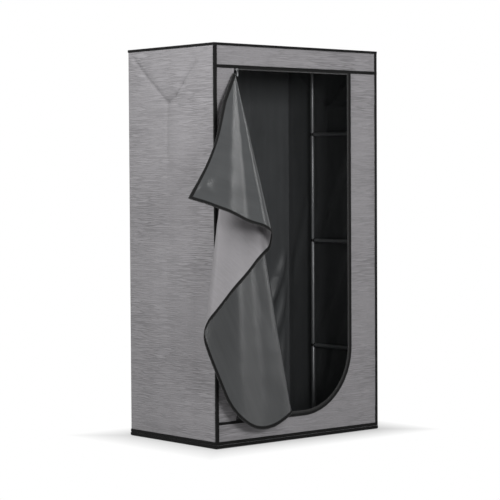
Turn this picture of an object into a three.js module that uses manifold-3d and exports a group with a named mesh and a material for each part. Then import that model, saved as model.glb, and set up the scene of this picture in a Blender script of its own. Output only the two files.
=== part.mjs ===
// Portable fabric wardrobe: a sewn cover over a plug-together frame of steel tube, with one zipped
// door that is open and hangs folded from the top left end of its zip.
// Millimetres. +X runs along the front to the right, +Y to the back, +Z up.
// The origin is on the underside of the floor panel, at the middle of the footprint.
import * as THREE from 'three';
import * as BufferGeometryUtils from 'three/addons/utils/BufferGeometryUtils.js';
import Module from 'manifold-3d';

const wasm = await Module();
wasm.setup();

// Cover
const HEIGHT = 1600;
const WIDTH = 890;
const DEPTH = 556;
const SKIN = 1.5; // thickness that stands for the coated non-woven fabric
const SEAM_GAP = 0.3; // between two sewn pieces
const HEADER_HEIGHT = 94; // of the strip above the door, down to its seam with the front panel

// Door opening, measured at the line where the two zip halves meet
const LEFT_STRIP = 102; // from the cover's left edge to the opening
const RIGHT_MARGIN = 173; // from the opening to the cover's right edge
const SILL_HEIGHT = 116; // from the floor to the opening
const DOOR_DROP = 8; // from the header's seam to the opening
const DOOR_CORNER_R = 250; // only the bottom right corner is round
const ZIP_TAPE = 10;

// Black bound edges, sewn on the outside
const BINDING = 12; // width
const BINDING_THICK = 1.2;
const CORNER_RETURN = 5; // how far a front binding turns on to the side panel
const HEADER_BAND_DROP = 3; // from the header's seam to the lower edge of the band over it
const HEADER_BAND_HEIGHT = 13;
const ROOF_BINDING = 9;
const HEM_HEIGHT = 26;

// Frame
const TUBE_D = 16;
const TUBE_WALL = 0.8;
const PLUG_GAP = 0.3; // all round, between a plug and the tube it sits in
const END_GAP = 0.3; // between a tube's end and the collar it meets
const COVER_GAP = 0.4; // between the frame and the cover
const SLEEVE_WALL = 2;
const COLLAR_D = 18;
const COLLAR_REACH = 15; // from a connector's centre to its collar's end face
const POST_COLLAR = 5; // the same, along a post, where a rung plugs in
const NECK_D = 9.2; // of the neck between a post and a rung's collar
const NECK_CLEARANCE = 1.5; // from the post's side to that collar
const PLUG_LENGTH = 26;
const RUNG_VENT_D = 5; // hole along a rung's moulded ends
const PLUG_CHAMFER = 1.5;
const REAR_POST_SETBACK = 170; // of the rear posts, from the back panel
const RUNG_SHARES = [0.209, 0.497, 0.7875]; // heights of the side rungs, as shares of HEIGHT
const RAIL_Y = 0;
const RAIL_DROP = 42; // of the hanging rail below the top ring
const LUG_WIDTH = 12;
const SLEEVE_LENGTH = 26;

// Door flap: a cone of cloth with its point at the zip's top left end
const FLAP_THICK = 1;
const FLAP_STAND = 0.8; // in front of the cover's front face, at the hinge line
const FLAP_START = 18; // the cloth begins this far from the point
const FLAP_TAPER_RATIO = 0.004; // half thickness for each millimetre from the point, up to FLAP_THICK / 2
const TRIM_THICK = 2;
const TRIM_WIDTH = 12; // tape and binding along the flap's free edge
const TRIM_TAPER_RATIO = 0.006;
const TRIM_GAP = 0.5; // between the flap's cloth and its trim
const ZIP_CLEARANCE = 0.6; // between the flap's edge and the zip line
const FLAP_NOTCH = 12; // of the flap's cloth at its free corner, under the trim
// Where the cloth runs, seen along the cone: sideways and forward travel for each unit of drop.
// It starts at the hinge line, folds three times and ends at the door's top edge.
const FOLD_RATIOS = [
  [0, 0], [0.1, 0.001], [0.185, 0.002], [0.203, 0.0085], [0.19, 0.019], [0.142, 0.028], [-0.01, 0.052],
  [-0.2, 0.056], [-0.216, 0.095], [-0.208, 0.115], [-0.15, 0.24], [-0.108, 0.34], [-0.062, 0.35],
  [-0.105, 0.455], [-0.285, 0.42], [-0.69, 0.28],
];
const FOLD_STEPS = 5; // between two points of the path

// Zip slider and pull
const SLIDER_LENGTH = 14;
const SLIDER_HEIGHT = 8;
const SLIDER_PLATE = 1.6;
const SLIDER_CLEARANCE = 0.3;
const SLIDER_REST = 7; // from the door's left edge to the slider's near end
const STAPLE_WIRE = 1.6;
const STAPLE_ROOM = 2.6; // between the slider's face and the staple
const PULL_LENGTH = 28;
const PULL_WIDTH = 8;
const PULL_THICK = 1.4;
const PULL_BAR = 1.6;

const TUBE_SIDES = 16;
const PLUG_SIDES = 10;
const JOIN_OVERLAP = 1; // between two shapes that are joined, and past a face that is cut

// Places worked out from the sizes
const halfWidth = WIDTH / 2;
const halfDepth = DEPTH / 2;
const tubeR = TUBE_D / 2;
const collarR = COLLAR_D / 2;
const plugR = tubeR - TUBE_WALL - PLUG_GAP;
const sleeveR = tubeR + PLUG_GAP + SLEEVE_WALL;
const frameInset = SKIN + COVER_GAP + sleeveR;
const postX = halfWidth - frameInset;
const frameY = halfDepth - frameInset;
const rearPostY = halfDepth - REAR_POST_SETBACK;
const ringLow = frameInset;
const ringHigh = HEIGHT - frameInset;
const wallLow = SKIN + SEAM_GAP;
const wallHigh = HEIGHT - SKIN - SEAM_GAP;
const rungHeights = RUNG_SHARES.map((share) => share * HEIGHT);
const headerSeam = HEIGHT - HEADER_HEIGHT;
const bandLow = headerSeam - HEADER_BAND_DROP;
const doorLeft = LEFT_STRIP - halfWidth;
const doorRight = halfWidth - RIGHT_MARGIN;
const doorTop = headerSeam - DOOR_DROP;
const doorWidth = doorRight - doorLeft;
const doorHeight = doorTop - SILL_HEIGHT;

const materials = {
  fabric: new THREE.MeshStandardMaterial({ color: 0x8f8d92, roughness: 0.9 }),
  coated: new THREE.MeshStandardMaterial({ color: 0x77777a, roughness: 0.55 }),
  binding: new THREE.MeshStandardMaterial({ color: 0x1c1c1e, roughness: 0.8 }),
  tape: new THREE.MeshStandardMaterial({ color: 0x2c2c2f, roughness: 0.85 }),
  tube: new THREE.MeshStandardMaterial({ color: 0x6d7075, roughness: 0.45, metalness: 0.6 }),
  moulding: new THREE.MeshStandardMaterial({ color: 0x151516, roughness: 0.5 }),
  metal: new THREE.MeshStandardMaterial({ color: 0x9a9ca0, roughness: 0.3, metalness: 0.9 }),
};

const wardrobe = new THREE.Group();

function addMesh(name, geometry, material) {
  const mesh = new THREE.Mesh(geometry, material);
  mesh.name = name;
  wardrobe.add(mesh);
  return mesh;
}

// Joining and cutting

function toSolid(geometry) {
  const bare = geometry.clone();
  bare.deleteAttribute('normal');
  bare.deleteAttribute('uv');
  const merged = BufferGeometryUtils.mergeVertices(bare, 1e-4);
  return new wasm.Manifold(new wasm.Mesh({
    numProp: 3,
    vertProperties: new Float32Array(merged.attributes.position.array),
    triVerts: new Uint32Array(merged.index.array),
  }));
}

function toGeometry(solid) {
  const mesh = solid.getMesh();
  const geometry = new THREE.BufferGeometry();
  geometry.setAttribute('position', new THREE.BufferAttribute(mesh.vertProperties, 3));
  geometry.setIndex(new THREE.BufferAttribute(mesh.triVerts, 1));
  return geometry;
}

function joined(geometries) {
  return geometries.map(toSolid).reduce((whole, piece) => whole.add(piece));
}

// Plain shapes

function boxBetween(low, high) {
  const size = high.map((value, i) => value - low[i]);
  return new THREE.BoxGeometry(...size).translate(...low.map((value, i) => value + size[i] / 2));
}

// A solid of revolution about Z from [radius, height] pairs, turned so that its axis runs along `axis`.
function turned(profile, sides, axis) {
  const points = profile.map(([radius, height]) => new THREE.Vector2(radius, height));
  const geometry = new THREE.LatheGeometry(points, sides);
  geometry.rotateX(Math.PI / 2);
  const turn = new THREE.Quaternion().setFromUnitVectors(new THREE.Vector3(0, 0, 1), axis);
  return geometry.applyQuaternion(turn);
}

function rod(radius, from, to, axis, sides = PLUG_SIDES) {
  return turned([[0, from], [radius, from], [radius, to], [0, to]], sides, axis);
}

function hollowTube(start, end) {
  const axis = end.clone().sub(start);
  const length = axis.length();
  const bore = tubeR - TUBE_WALL;
  const profile = [[bore, 0], [tubeR, 0], [tubeR, length], [bore, length], [bore, 0]];
  return turned(profile, TUBE_SIDES, axis.normalize()).translate(start.x, start.y, start.z);
}

// A collar that stops the tube and a plug with a chamfered tip that fills it.
function plugArm(axis, collarReach) {
  const tip = collarReach + PLUG_LENGTH;
  return turned([
    [0, 0], [collarR, 0], [collarR, collarReach], [plugR, collarReach],
    [plugR, tip - PLUG_CHAMFER], [plugR - PLUG_CHAMFER, tip], [0, tip],
  ], PLUG_SIDES, axis);
}

const X = new THREE.Vector3(1, 0, 0);
const Y = new THREE.Vector3(0, 1, 0);
const Z = new THREE.Vector3(0, 0, 1);
const along = (axis, sign) => axis.clone().multiplyScalar(sign);

// Frame

const collarStop = COLLAR_REACH + END_GAP;
const sleeveStop = sleeveR + END_GAP;
const postStop = POST_COLLAR + END_GAP;

function cornerConnector(x, y, z) {
  const hub = new THREE.SphereGeometry(sleeveR, PLUG_SIDES, PLUG_SIDES / 2);
  const inward = [along(X, -Math.sign(x)), along(Y, -Math.sign(y)), along(Z, z > HEIGHT / 2 ? -1 : 1)];
  const arms = inward.map((axis) => plugArm(axis, COLLAR_REACH));
  return toGeometry(joined([hub, ...arms])).translate(x, y, z);
}

// A sleeve round a side tube of the ring, with a plug on its lower or upper side.
function sleeveConnector(plugAxis) {
  const body = rod(sleeveR, -SLEEVE_LENGTH / 2, SLEEVE_LENGTH / 2, Y, TUBE_SIDES);
  const bore = rod(tubeR + PLUG_GAP, -SLEEVE_LENGTH, SLEEVE_LENGTH, Y, TUBE_SIDES);
  return joined([body, plugArm(plugAxis, sleeveR)]).subtract(toSolid(bore));
}

function railHanger(side) {
  const inward = along(X, -side);
  const sleeve = rod(sleeveR, -SLEEVE_LENGTH / 2, SLEEVE_LENGTH / 2, Y, TUBE_SIDES);
  const bore = rod(tubeR + PLUG_GAP, -SLEEVE_LENGTH, SLEEVE_LENGTH, Y, TUBE_SIDES);
  const lug = boxBetween([-LUG_WIDTH / 2, -collarR, -RAIL_DROP], [LUG_WIDTH / 2, collarR, 0]);
  const boss = rod(collarR, -LUG_WIDTH / 2, LUG_WIDTH / 2, X, TUBE_SIDES);
  boss.translate(0, 0, -RAIL_DROP);
  const plug = plugArm(inward, COLLAR_REACH).translate(0, 0, -RAIL_DROP);
  const whole = joined([sleeve, lug, boss, plug]).subtract(toSolid(bore));
  return toGeometry(whole).translate(side * postX, RAIL_Y, ringHigh);
}

// A rung is one tube with its two moulded ends, which also join the post's lengths above and below.
function sideRung(side, z) {
  const collarStart = tubeR + NECK_CLEARANCE;
  const pieces = [[-frameY, 1], [rearPostY, -1]].flatMap(([y, inward]) => {
    const arms = [plugArm(Z, POST_COLLAR), plugArm(along(Z, -1), POST_COLLAR)];
    const neck = rod(NECK_D / 2, 0, COLLAR_REACH, along(Y, inward));
    const collar = rod(collarR, collarStart, COLLAR_REACH, along(Y, inward));
    return [...arms, neck, collar].map((piece) => piece.translate(0, y, 0));
  });
  const low = -frameY + COLLAR_REACH;
  const high = rearPostY - COLLAR_REACH;
  const tube = rod(tubeR, low - JOIN_OVERLAP, high + JOIN_OVERLAP, Y, TUBE_SIDES);
  const bore = rod(tubeR - TUBE_WALL, low, high, Y, TUBE_SIDES);
  const vent = rod(RUNG_VENT_D / 2, -frameY - COLLAR_D, rearPostY + COLLAR_D, Y);
  const whole = joined([tube, ...pieces]).subtract(toSolid(bore)).subtract(toSolid(vent));
  return toGeometry(whole).translate(side * postX, 0, z);
}

const sides = [['left', -1], ['right', 1]];
const ends = [['front', -frameY], ['back', frameY]];
const rings = [['bottom', ringLow], ['top', ringHigh]];
const levels = ['low', 'middle', 'high'];

for (const [ringName, z] of rings) {
  for (const [endName, y] of ends) {
    const reach = postX - collarStop;
    const tube = hollowTube(new THREE.Vector3(-reach, y, z), new THREE.Vector3(reach, y, z));
    addMesh(`${ringName}_${endName}_tube`, tube, materials.tube);
  }
  for (const [sideName, side] of sides) {
    const reach = frameY - collarStop;
    const x = side * postX;
    const tube = hollowTube(new THREE.Vector3(x, -reach, z), new THREE.Vector3(x, reach, z));
    addMesh(`${ringName}_${sideName}_tube`, tube, materials.tube);
    for (const [endName, y] of ends) {
      addMesh(`${ringName}_${endName}_${sideName}_corner`, cornerConnector(x, y, z), materials.moulding);
    }
    const plugAxis = ringName === 'bottom' ? Z : along(Z, -1);
    const sleeve = toGeometry(sleeveConnector(plugAxis)).translate(x, rearPostY, z);
    addMesh(`${ringName}_${sideName}_post_sleeve`, sleeve, materials.moulding);
  }
}

for (const [sideName, side] of sides) {
  rungHeights.forEach((z, i) => {
    addMesh(`${sideName}_${levels[i]}_rung`, sideRung(side, z), materials.tube);
  });
  const posts = [['front', -frameY, collarStop], ['rear', rearPostY, sleeveStop]];
  for (const [postName, y, ringStop] of posts) {
    const joints = [ringLow, ...rungHeights, ringHigh];
    for (let i = 0; i + 1 < joints.length; i += 1) {
      const low = joints[i] + (i === 0 ? ringStop : postStop);
      const high = joints[i + 1] - (i + 2 === joints.length ? ringStop : postStop);
      const x = side * postX;
      const tube = hollowTube(new THREE.Vector3(x, y, low), new THREE.Vector3(x, y, high));
      addMesh(`${postName}_${sideName}_post_${i + 1}`, tube, materials.tube);
    }
  }
  addMesh(`${sideName}_rail_hanger`, railHanger(side), materials.moulding);
}

const railReach = postX - collarStop;
const railZ = ringHigh - RAIL_DROP;
addMesh('hanging_rail', hollowTube(
  new THREE.Vector3(-railReach, RAIL_Y, railZ),
  new THREE.Vector3(railReach, RAIL_Y, railZ),
), materials.tube);

// Cover

// A flat piece standing in the front plane: a shape in X and Z, from y = front to y = front + thick.
function frontPiece(shape, front, thick) {
  const settings = { depth: thick, bevelEnabled: false, curveSegments: 10 };
  const geometry = new THREE.ExtrudeGeometry(shape, settings);
  return geometry.rotateX(Math.PI / 2).translate(0, front + thick, 0);
}

// The door's outline moved outwards by `offset`, from its top right corner to its bottom left one.
function traceDoor(path, offset, reversed = false) {
  const right = doorRight + offset;
  const bottom = SILL_HEIGHT - offset;
  const centreX = doorRight - DOOR_CORNER_R;
  const centreZ = SILL_HEIGHT + DOOR_CORNER_R;
  const radius = DOOR_CORNER_R + offset;
  if (reversed) {
    path.lineTo(centreX, bottom);
    path.absarc(centreX, centreZ, radius, -Math.PI / 2, 0, false);
    path.lineTo(right, centreZ);
  } else {
    path.lineTo(right, centreZ);
    path.absarc(centreX, centreZ, radius, 0, -Math.PI / 2, true);
    path.lineTo(centreX, bottom);
  }
}

function frontPanelShape() {
  const side = halfWidth - SKIN - SEAM_GAP;
  const cut = ZIP_TAPE + SEAM_GAP;
  const shape = new THREE.Shape();
  shape.moveTo(-side, wallLow);
  shape.lineTo(side, wallLow);
  shape.lineTo(side, headerSeam);
  shape.lineTo(doorRight + cut, headerSeam);
  traceDoor(shape, cut);
  shape.lineTo(doorLeft, SILL_HEIGHT - cut);
  shape.lineTo(doorLeft, headerSeam);
  shape.lineTo(-side, headerSeam);
  shape.closePath();
  return shape;
}

// The body's half of the zip: along the top, down the right side, round the corner, along the bottom.
function zipTapeShape() {
  const left = doorLeft + SEAM_GAP;
  const top = headerSeam - SEAM_GAP;
  const shape = new THREE.Shape();
  shape.moveTo(left, doorTop);
  shape.lineTo(doorRight, doorTop);
  traceDoor(shape, 0);
  shape.lineTo(left, SILL_HEIGHT);
  shape.lineTo(left, SILL_HEIGHT - ZIP_TAPE);
  traceDoor(shape, ZIP_TAPE, true);
  shape.lineTo(doorRight + ZIP_TAPE, top);
  shape.lineTo(left, top);
  shape.closePath();
  return shape;
}

function doorBindingShape() {
  const inner = ZIP_TAPE;
  const outer = ZIP_TAPE + BINDING;
  const shape = new THREE.Shape();
  shape.moveTo(doorRight + outer, bandLow + JOIN_OVERLAP);
  shape.lineTo(doorRight + inner, bandLow + JOIN_OVERLAP);
  traceDoor(shape, inner);
  shape.lineTo(-halfWidth, SILL_HEIGHT - inner);
  shape.lineTo(-halfWidth, SILL_HEIGHT - outer);
  traceDoor(shape, outer, true);
  shape.closePath();
  return shape;
}

const sidePanelBox = (side) => {
  const x = [side * halfWidth, side * (halfWidth - SKIN)].sort((a, b) => a - b);
  return boxBetween([x[0], -halfDepth, wallLow], [x[1], halfDepth, wallHigh]);
};
const frontX = halfWidth - SKIN - SEAM_GAP;

addMesh('floor_panel', boxBetween(
  [-halfWidth, -halfDepth, 0],
  [halfWidth, halfDepth, SKIN],
), materials.coated);
addMesh('roof_panel', boxBetween(
  [-halfWidth, -halfDepth, HEIGHT - SKIN],
  [halfWidth, halfDepth, HEIGHT],
), materials.fabric);
addMesh('back_panel', boxBetween(
  [-frontX, halfDepth - SKIN, wallLow],
  [frontX, halfDepth, wallHigh],
), materials.fabric);
addMesh('left_side_panel', sidePanelBox(-1), materials.fabric);
addMesh('right_side_panel', sidePanelBox(1), materials.fabric);
addMesh('header_strip', boxBetween(
  [-frontX, -halfDepth, headerSeam + SEAM_GAP],
  [frontX, -halfDepth + SKIN, wallHigh],
), materials.fabric);
addMesh('front_panel', frontPiece(frontPanelShape(), -halfDepth, SKIN), materials.fabric);
addMesh('zip_tape', frontPiece(zipTapeShape(), -halfDepth, SKIN), materials.tape);

// Ring round the outside of the cover, between two heights.
function outerRing(low, high) {
  const inner = [halfWidth + SEAM_GAP, halfDepth + SEAM_GAP];
  const outer = inner.map((value) => value + BINDING_THICK);
  const block = boxBetween([-outer[0], -outer[1], low], [outer[0], outer[1], high]);
  const hole = boxBetween(
    [-inner[0], -inner[1], low - JOIN_OVERLAP],
    [inner[0], inner[1], high + JOIN_OVERLAP],
  );
  return toSolid(block).subtract(toSolid(hole));
}

const bindingBack = -halfDepth - SEAM_GAP;
const bindingFront = bindingBack - BINDING_THICK;
const bindingSide = halfWidth + SEAM_GAP + BINDING_THICK;
const bindingLow = wallLow + HEM_HEIGHT + SEAM_GAP;

// One black binding network: round the roof, down both front edges, across the header, round the door.
function edgeBinding() {
  let whole = outerRing(HEIGHT - ROOF_BINDING, HEIGHT);
  for (const [, side] of sides) {
    const front = [side * bindingSide, side * (halfWidth - BINDING)].sort((a, b) => a - b);
    const back = [side * bindingSide, side * (halfWidth + SEAM_GAP)].sort((a, b) => a - b);
    const edge = boxBetween(
      [front[0], bindingFront, bindingLow],
      [front[1], bindingBack, HEIGHT - JOIN_OVERLAP],
    );
    const turn = boxBetween(
      [back[0], bindingFront, bindingLow],
      [back[1], -halfDepth + CORNER_RETURN, HEIGHT - JOIN_OVERLAP],
    );
    whole = whole.add(toSolid(edge)).add(toSolid(turn));
  }
  const band = boxBetween(
    [-halfWidth, bindingFront, bandLow],
    [halfWidth, bindingBack, bandLow + HEADER_BAND_HEIGHT],
  );
  const door = frontPiece(doorBindingShape(), bindingFront, BINDING_THICK);
  return toGeometry(whole.add(toSolid(band)).add(toSolid(door)));
}

addMesh('edge_binding', edgeBinding(), materials.binding);
addMesh('base_hem', toGeometry(outerRing(wallLow, wallLow + HEM_HEIGHT)), materials.binding);

// Door flap

// Directions of the cloth's straight lines from the cone's point, with the angle run through so far.
function foldDirections() {
  const path = new THREE.CatmullRomCurve3(
    FOLD_RATIOS.map(([sideways, forward]) => new THREE.Vector3(sideways, -forward, -1)),
    false,
    'centripetal',
  );
  const count = (FOLD_RATIOS.length - 1) * FOLD_STEPS;
  const rays = [];
  let angle = 0;
  for (let i = 0; i <= count; i += 1) {
    const direction = path.getPoint(i / count).normalize();
    if (i > 0) angle += direction.angleTo(rays[i - 1].direction);
    rays.push({ direction, angle });
  }
  const scale = Math.PI / 2 / angle;
  rays.forEach((ray) => { ray.angle *= scale; });
  return rays;
}

const rays = foldDirections();
const flapPoint = new THREE.Vector3(doorLeft, -halfDepth - FLAP_STAND, doorTop);

// The ray at an angle from the hinge line, and the cloth's normal there.
function rayAt(angle) {
  let i = rays.findIndex((ray) => ray.angle >= angle);
  if (i < 0) i = rays.length - 1;
  i = Math.max(i, 1);
  const [a, b] = [rays[i - 1], rays[i]];
  const mix = THREE.MathUtils.clamp((angle - a.angle) / (b.angle - a.angle), 0, 1);
  const direction = a.direction.clone().lerp(b.direction, mix).normalize();
  const before = rays[Math.max(i - 2, 0)].direction;
  const after = rays[Math.min(i + 1, rays.length - 1)].direction;
  const tangentA = b.direction.clone().sub(before).normalize();
  const tangentB = after.clone().sub(a.direction).normalize();
  const tangent = tangentA.lerp(tangentB, mix);
  return { direction, normal: direction.clone().cross(tangent).normalize() };
}

// A point of the flat door, `across` from the hinge line and `down` from the top edge, on the cone.
function onCone(across, down, lift, taper) {
  const reach = Math.hypot(across, down);
  const { direction, normal } = rayAt(Math.atan2(across, down));
  const offset = Math.sign(lift) * Math.min(Math.abs(lift), taper * reach);
  return flapPoint.clone().addScaledVector(direction, reach).addScaledVector(normal, offset);
}

// Distance from the point to the door's edge, `inset` inside it, at an angle from the hinge line.
function edgeReach(angle, inset) {
  const [sin, cos] = [Math.sin(angle), Math.cos(angle)];
  const [width, height] = [doorWidth - inset, doorHeight - inset];
  const straight = Math.min(sin > 0 ? width / sin : Infinity, cos > 0 ? height / cos : Infinity);
  const centre = [doorWidth - DOOR_CORNER_R, doorHeight - DOOR_CORNER_R];
  if (straight * sin <= centre[0] || straight * cos <= centre[1]) return straight;
  const radius = DOOR_CORNER_R - inset;
  const middle = sin * centre[0] + cos * centre[1];
  return middle + Math.sqrt(middle ** 2 - centre[0] ** 2 - centre[1] ** 2 + radius ** 2);
}

// Closed sheet from a grid of flat places: grid[i][j] = [across, down].
function clothSolid(grid, thick, taper) {
  const [rows, columns] = [grid.length, grid[0].length];
  const positions = [];
  for (const lift of [thick / 2, -thick / 2]) {
    for (const row of grid) {
      for (const [across, down] of row) positions.push(...onCone(across, down, lift, taper).toArray());
    }
  }
  const index = (layer, i, j) => layer * rows * columns + i * columns + j;
  const faces = [];
  const quad = (a, b, c, d) => faces.push(a, c, b, a, d, c);
  for (let i = 0; i + 1 < rows; i += 1) {
    for (let j = 0; j + 1 < columns; j += 1) {
      quad(index(0, i, j), index(0, i + 1, j), index(0, i + 1, j + 1), index(0, i, j + 1));
      quad(index(1, i, j), index(1, i, j + 1), index(1, i + 1, j + 1), index(1, i + 1, j));
    }
    quad(index(0, i, 0), index(1, i, 0), index(1, i + 1, 0), index(0, i + 1, 0));
    const last = columns - 1;
    quad(index(0, i, last), index(0, i + 1, last), index(1, i + 1, last), index(1, i, last));
  }
  for (let j = 0; j + 1 < columns; j += 1) {
    quad(index(0, 0, j), index(0, 0, j + 1), index(1, 0, j + 1), index(1, 0, j));
    const last = rows - 1;
    quad(index(0, last, j), index(1, last, j), index(1, last, j + 1), index(0, last, j + 1));
  }
  const geometry = new THREE.BufferGeometry();
  geometry.setAttribute('position', new THREE.Float32BufferAttribute(positions, 3));
  geometry.setIndex(faces);
  return geometry;
}

const FLAP_ROWS = [0, 0.12, 0.4, 0.7, 1]; // shares of the way from the point to the edge
const trimInner = ZIP_CLEARANCE + TRIM_WIDTH;

function flapGrid() {
  const inset = trimInner + TRIM_GAP;
  const lastAngle = Math.atan2(doorWidth - inset - FLAP_NOTCH, inset);
  const angles = rays.map((ray) => ray.angle).filter((angle) => angle < lastAngle);
  return [...angles, lastAngle].map((angle) => {
    const near = Math.max(FLAP_START, inset / Math.cos(angle));
    const far = edgeReach(angle, inset);
    return FLAP_ROWS.map((share) => {
      const reach = near + (far - near) * share;
      return [reach * Math.sin(angle), reach * Math.cos(angle)];
    });
  });
}

// The tape and binding along the top edge, down the free side, round the corner and along the bottom.
function trimGrid() {
  const topSteps = 6;
  const grid = [];
  for (let i = 0; i < topSteps; i += 1) {
    const across = FLAP_START + ((doorWidth - trimInner - FLAP_START) * i) / topSteps;
    grid.push([[across, 0], [across, TRIM_WIDTH]]);
  }
  grid.push([[doorWidth - ZIP_CLEARANCE, 0], [doorWidth - trimInner, TRIM_WIDTH]]);
  for (const { angle } of [...rays].reverse()) {
    const outer = edgeReach(angle, ZIP_CLEARANCE);
    const inner = edgeReach(angle, trimInner);
    if (inner * Math.cos(angle) <= TRIM_WIDTH) continue;
    grid.push([outer, inner].map((reach) => [reach * Math.sin(angle), reach * Math.cos(angle)]));
  }
  return grid;
}

addMesh('door_flap', clothSolid(flapGrid(), FLAP_THICK, FLAP_TAPER_RATIO), materials.coated);
addMesh('door_trim', clothSolid(trimGrid(), TRIM_THICK, TRIM_TAPER_RATIO), materials.binding);

// Zip slider and pull

const sliderLeft = doorLeft + SLIDER_REST;
const sliderFace = -halfDepth - SLIDER_CLEARANCE - SLIDER_PLATE;
const sliderBack = -halfDepth + SKIN + SLIDER_CLEARANCE;
const sliderTop = bandLow - SLIDER_CLEARANCE;
const sliderLow = sliderTop - SLIDER_HEIGHT;
const stapleZ = sliderLow + SLIDER_HEIGHT / 2;
const stapleFront = sliderFace - STAPLE_ROOM - STAPLE_WIRE;
const pinY = sliderFace - STAPLE_ROOM / 2;

// Two plates joined below the tape's free edge, and a staple on the front that holds the pull.
function zipSlider() {
  const right = sliderLeft + SLIDER_LENGTH;
  const plateAt = (y) => boxBetween([sliderLeft, y, sliderLow], [right, y + SLIDER_PLATE, sliderTop]);
  const front = plateAt(sliderFace);
  const back = plateAt(sliderBack);
  const bridge = boxBetween(
    [sliderLeft, sliderFace, sliderLow],
    [right, sliderBack + SLIDER_PLATE, doorTop - SLIDER_CLEARANCE],
  );
  const middle = sliderLeft + SLIDER_LENGTH / 2;
  const half = SLIDER_HEIGHT / 2;
  const bar = boxBetween(
    [middle - STAPLE_WIRE, stapleFront, stapleZ - half],
    [middle + STAPLE_WIRE, stapleFront + STAPLE_WIRE, stapleZ + half],
  );
  const feet = [stapleZ - half, stapleZ + half - STAPLE_WIRE].map((low) => boxBetween(
    [middle - STAPLE_WIRE, stapleFront, low],
    [middle + STAPLE_WIRE, sliderFace + SLIDER_PLATE / 2, low + STAPLE_WIRE],
  ));
  return toGeometry(joined([front, back, bridge, bar, ...feet]));
}

// The pull's top bar runs through the staple, and its plate hangs below.
function zipPull() {
  const middle = sliderLeft + SLIDER_LENGTH / 2;
  const shape = new THREE.Shape();
  const half = PULL_WIDTH / 2;
  const drop = PULL_LENGTH;
  shape.moveTo(-half, PULL_BAR / 2);
  shape.lineTo(-half, -drop + half);
  shape.absarc(0, -drop + half, half, Math.PI, 2 * Math.PI, false);
  shape.lineTo(half, PULL_BAR / 2);
  shape.closePath();
  const window = new THREE.Path();
  const inner = half - PULL_BAR;
  window.moveTo(-inner, -PULL_BAR / 2);
  window.lineTo(inner, -PULL_BAR / 2);
  window.lineTo(inner, -SLIDER_HEIGHT);
  window.lineTo(-inner, -SLIDER_HEIGHT);
  window.closePath();
  shape.holes.push(window);
  const plate = frontPiece(shape, pinY - PULL_THICK / 2, PULL_THICK);
  return plate.translate(middle, 0, stapleZ);
}

addMesh('zip_slider', zipSlider(), materials.metal);
addMesh('zip_pull', zipPull(), materials.metal);

export default wardrobe;
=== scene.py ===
import math

import bmesh
import bpy
import numpy as np
from mathutils import Matrix, Vector


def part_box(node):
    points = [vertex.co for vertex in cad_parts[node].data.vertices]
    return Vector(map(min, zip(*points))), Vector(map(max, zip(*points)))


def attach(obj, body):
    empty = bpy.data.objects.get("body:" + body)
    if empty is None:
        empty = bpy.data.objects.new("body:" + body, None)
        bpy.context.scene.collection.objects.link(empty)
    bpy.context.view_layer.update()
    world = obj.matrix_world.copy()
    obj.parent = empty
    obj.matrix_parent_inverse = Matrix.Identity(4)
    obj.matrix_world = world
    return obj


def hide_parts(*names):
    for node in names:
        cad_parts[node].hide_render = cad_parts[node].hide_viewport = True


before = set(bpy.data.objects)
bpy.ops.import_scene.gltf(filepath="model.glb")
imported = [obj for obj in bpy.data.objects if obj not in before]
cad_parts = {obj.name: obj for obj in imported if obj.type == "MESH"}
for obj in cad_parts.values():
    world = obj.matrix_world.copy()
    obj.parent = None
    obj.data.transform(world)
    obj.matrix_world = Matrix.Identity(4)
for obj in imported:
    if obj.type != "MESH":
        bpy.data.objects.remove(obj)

bpy.ops.object.select_all(action="DESELECT")
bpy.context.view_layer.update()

# Sizes that the frame gives, in metres
roof_low, roof_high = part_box("roof_panel")
back_low, back_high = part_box("back_panel")
header_low, header_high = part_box("header_strip")
front_low, front_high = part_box("front_panel")
tape_low, tape_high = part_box("zip_tape")
hem_low, hem_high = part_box("base_hem")
slider_low, slider_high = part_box("zip_slider")
pull_low, pull_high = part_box("zip_pull")

HALF_WIDTH, HALF_DEPTH, TOP = roof_high
SKIN = roof_high.z - roof_low.z
SHEET_MIDDLE = SKIN / 2
SEAM = 0.0003
FRONT = -HALF_DEPTH
WALL_LOW, WALL_HIGH = back_low.z, back_high.z
HEADER_SEAM = header_low.z - SEAM
HEM = hem_high.z - WALL_LOW

# Door opening, at the line where the two zip halves meet
TAPE_WIDTH = 0.010
CORNER_R = 0.25
DOOR_LEFT = tape_low.x - SEAM
DOOR_RIGHT = tape_high.x - TAPE_WIDTH
DOOR_TOP = HEADER_SEAM - 0.008
DOOR_BOTTOM = tape_low.z + TAPE_WIDTH
DOOR_WIDTH = DOOR_RIGHT - DOOR_LEFT
DOOR_HEIGHT = DOOR_TOP - DOOR_BOTTOM
CORNER_X, CORNER_Z = DOOR_RIGHT - CORNER_R, DOOR_BOTTOM + CORNER_R
TOP_STATIONS = 80

# Sewn trim
BINDING = 0.012
BINDING_THICK = 0.0016
BINDING_SIDE = 0.006
BAND_LOW, BAND_HIGH = HEADER_SEAM - 0.003, HEADER_SEAM + 0.010
BAND_LIFT = 0.0004
ROOF_BINDING = 0.009
SIDE_STATIONS = 40
STITCH_PITCH = 0.0042
STITCH_SIZE = (0.0031, 0.0007, 0.0006)
STITCH_INSET = 0.0018
TAPE_THICK, TAPE_LIFT, TAPE_FACE = 0.0009, 0.0004, 0.0009
TAPE_TUCK = 0.003
TAPE_STITCH = 0.0072
TOOTH_PITCH = 0.0024
TOOTH_SIZE, DOOR_TOOTH_SIZE = (0.0015, 0.0042, 0.0019), (0.0015, 0.0032, 0.0019)
TOOTH_INSET, DOOR_TOOTH_INSET = 0.0016, 0.0018

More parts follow.
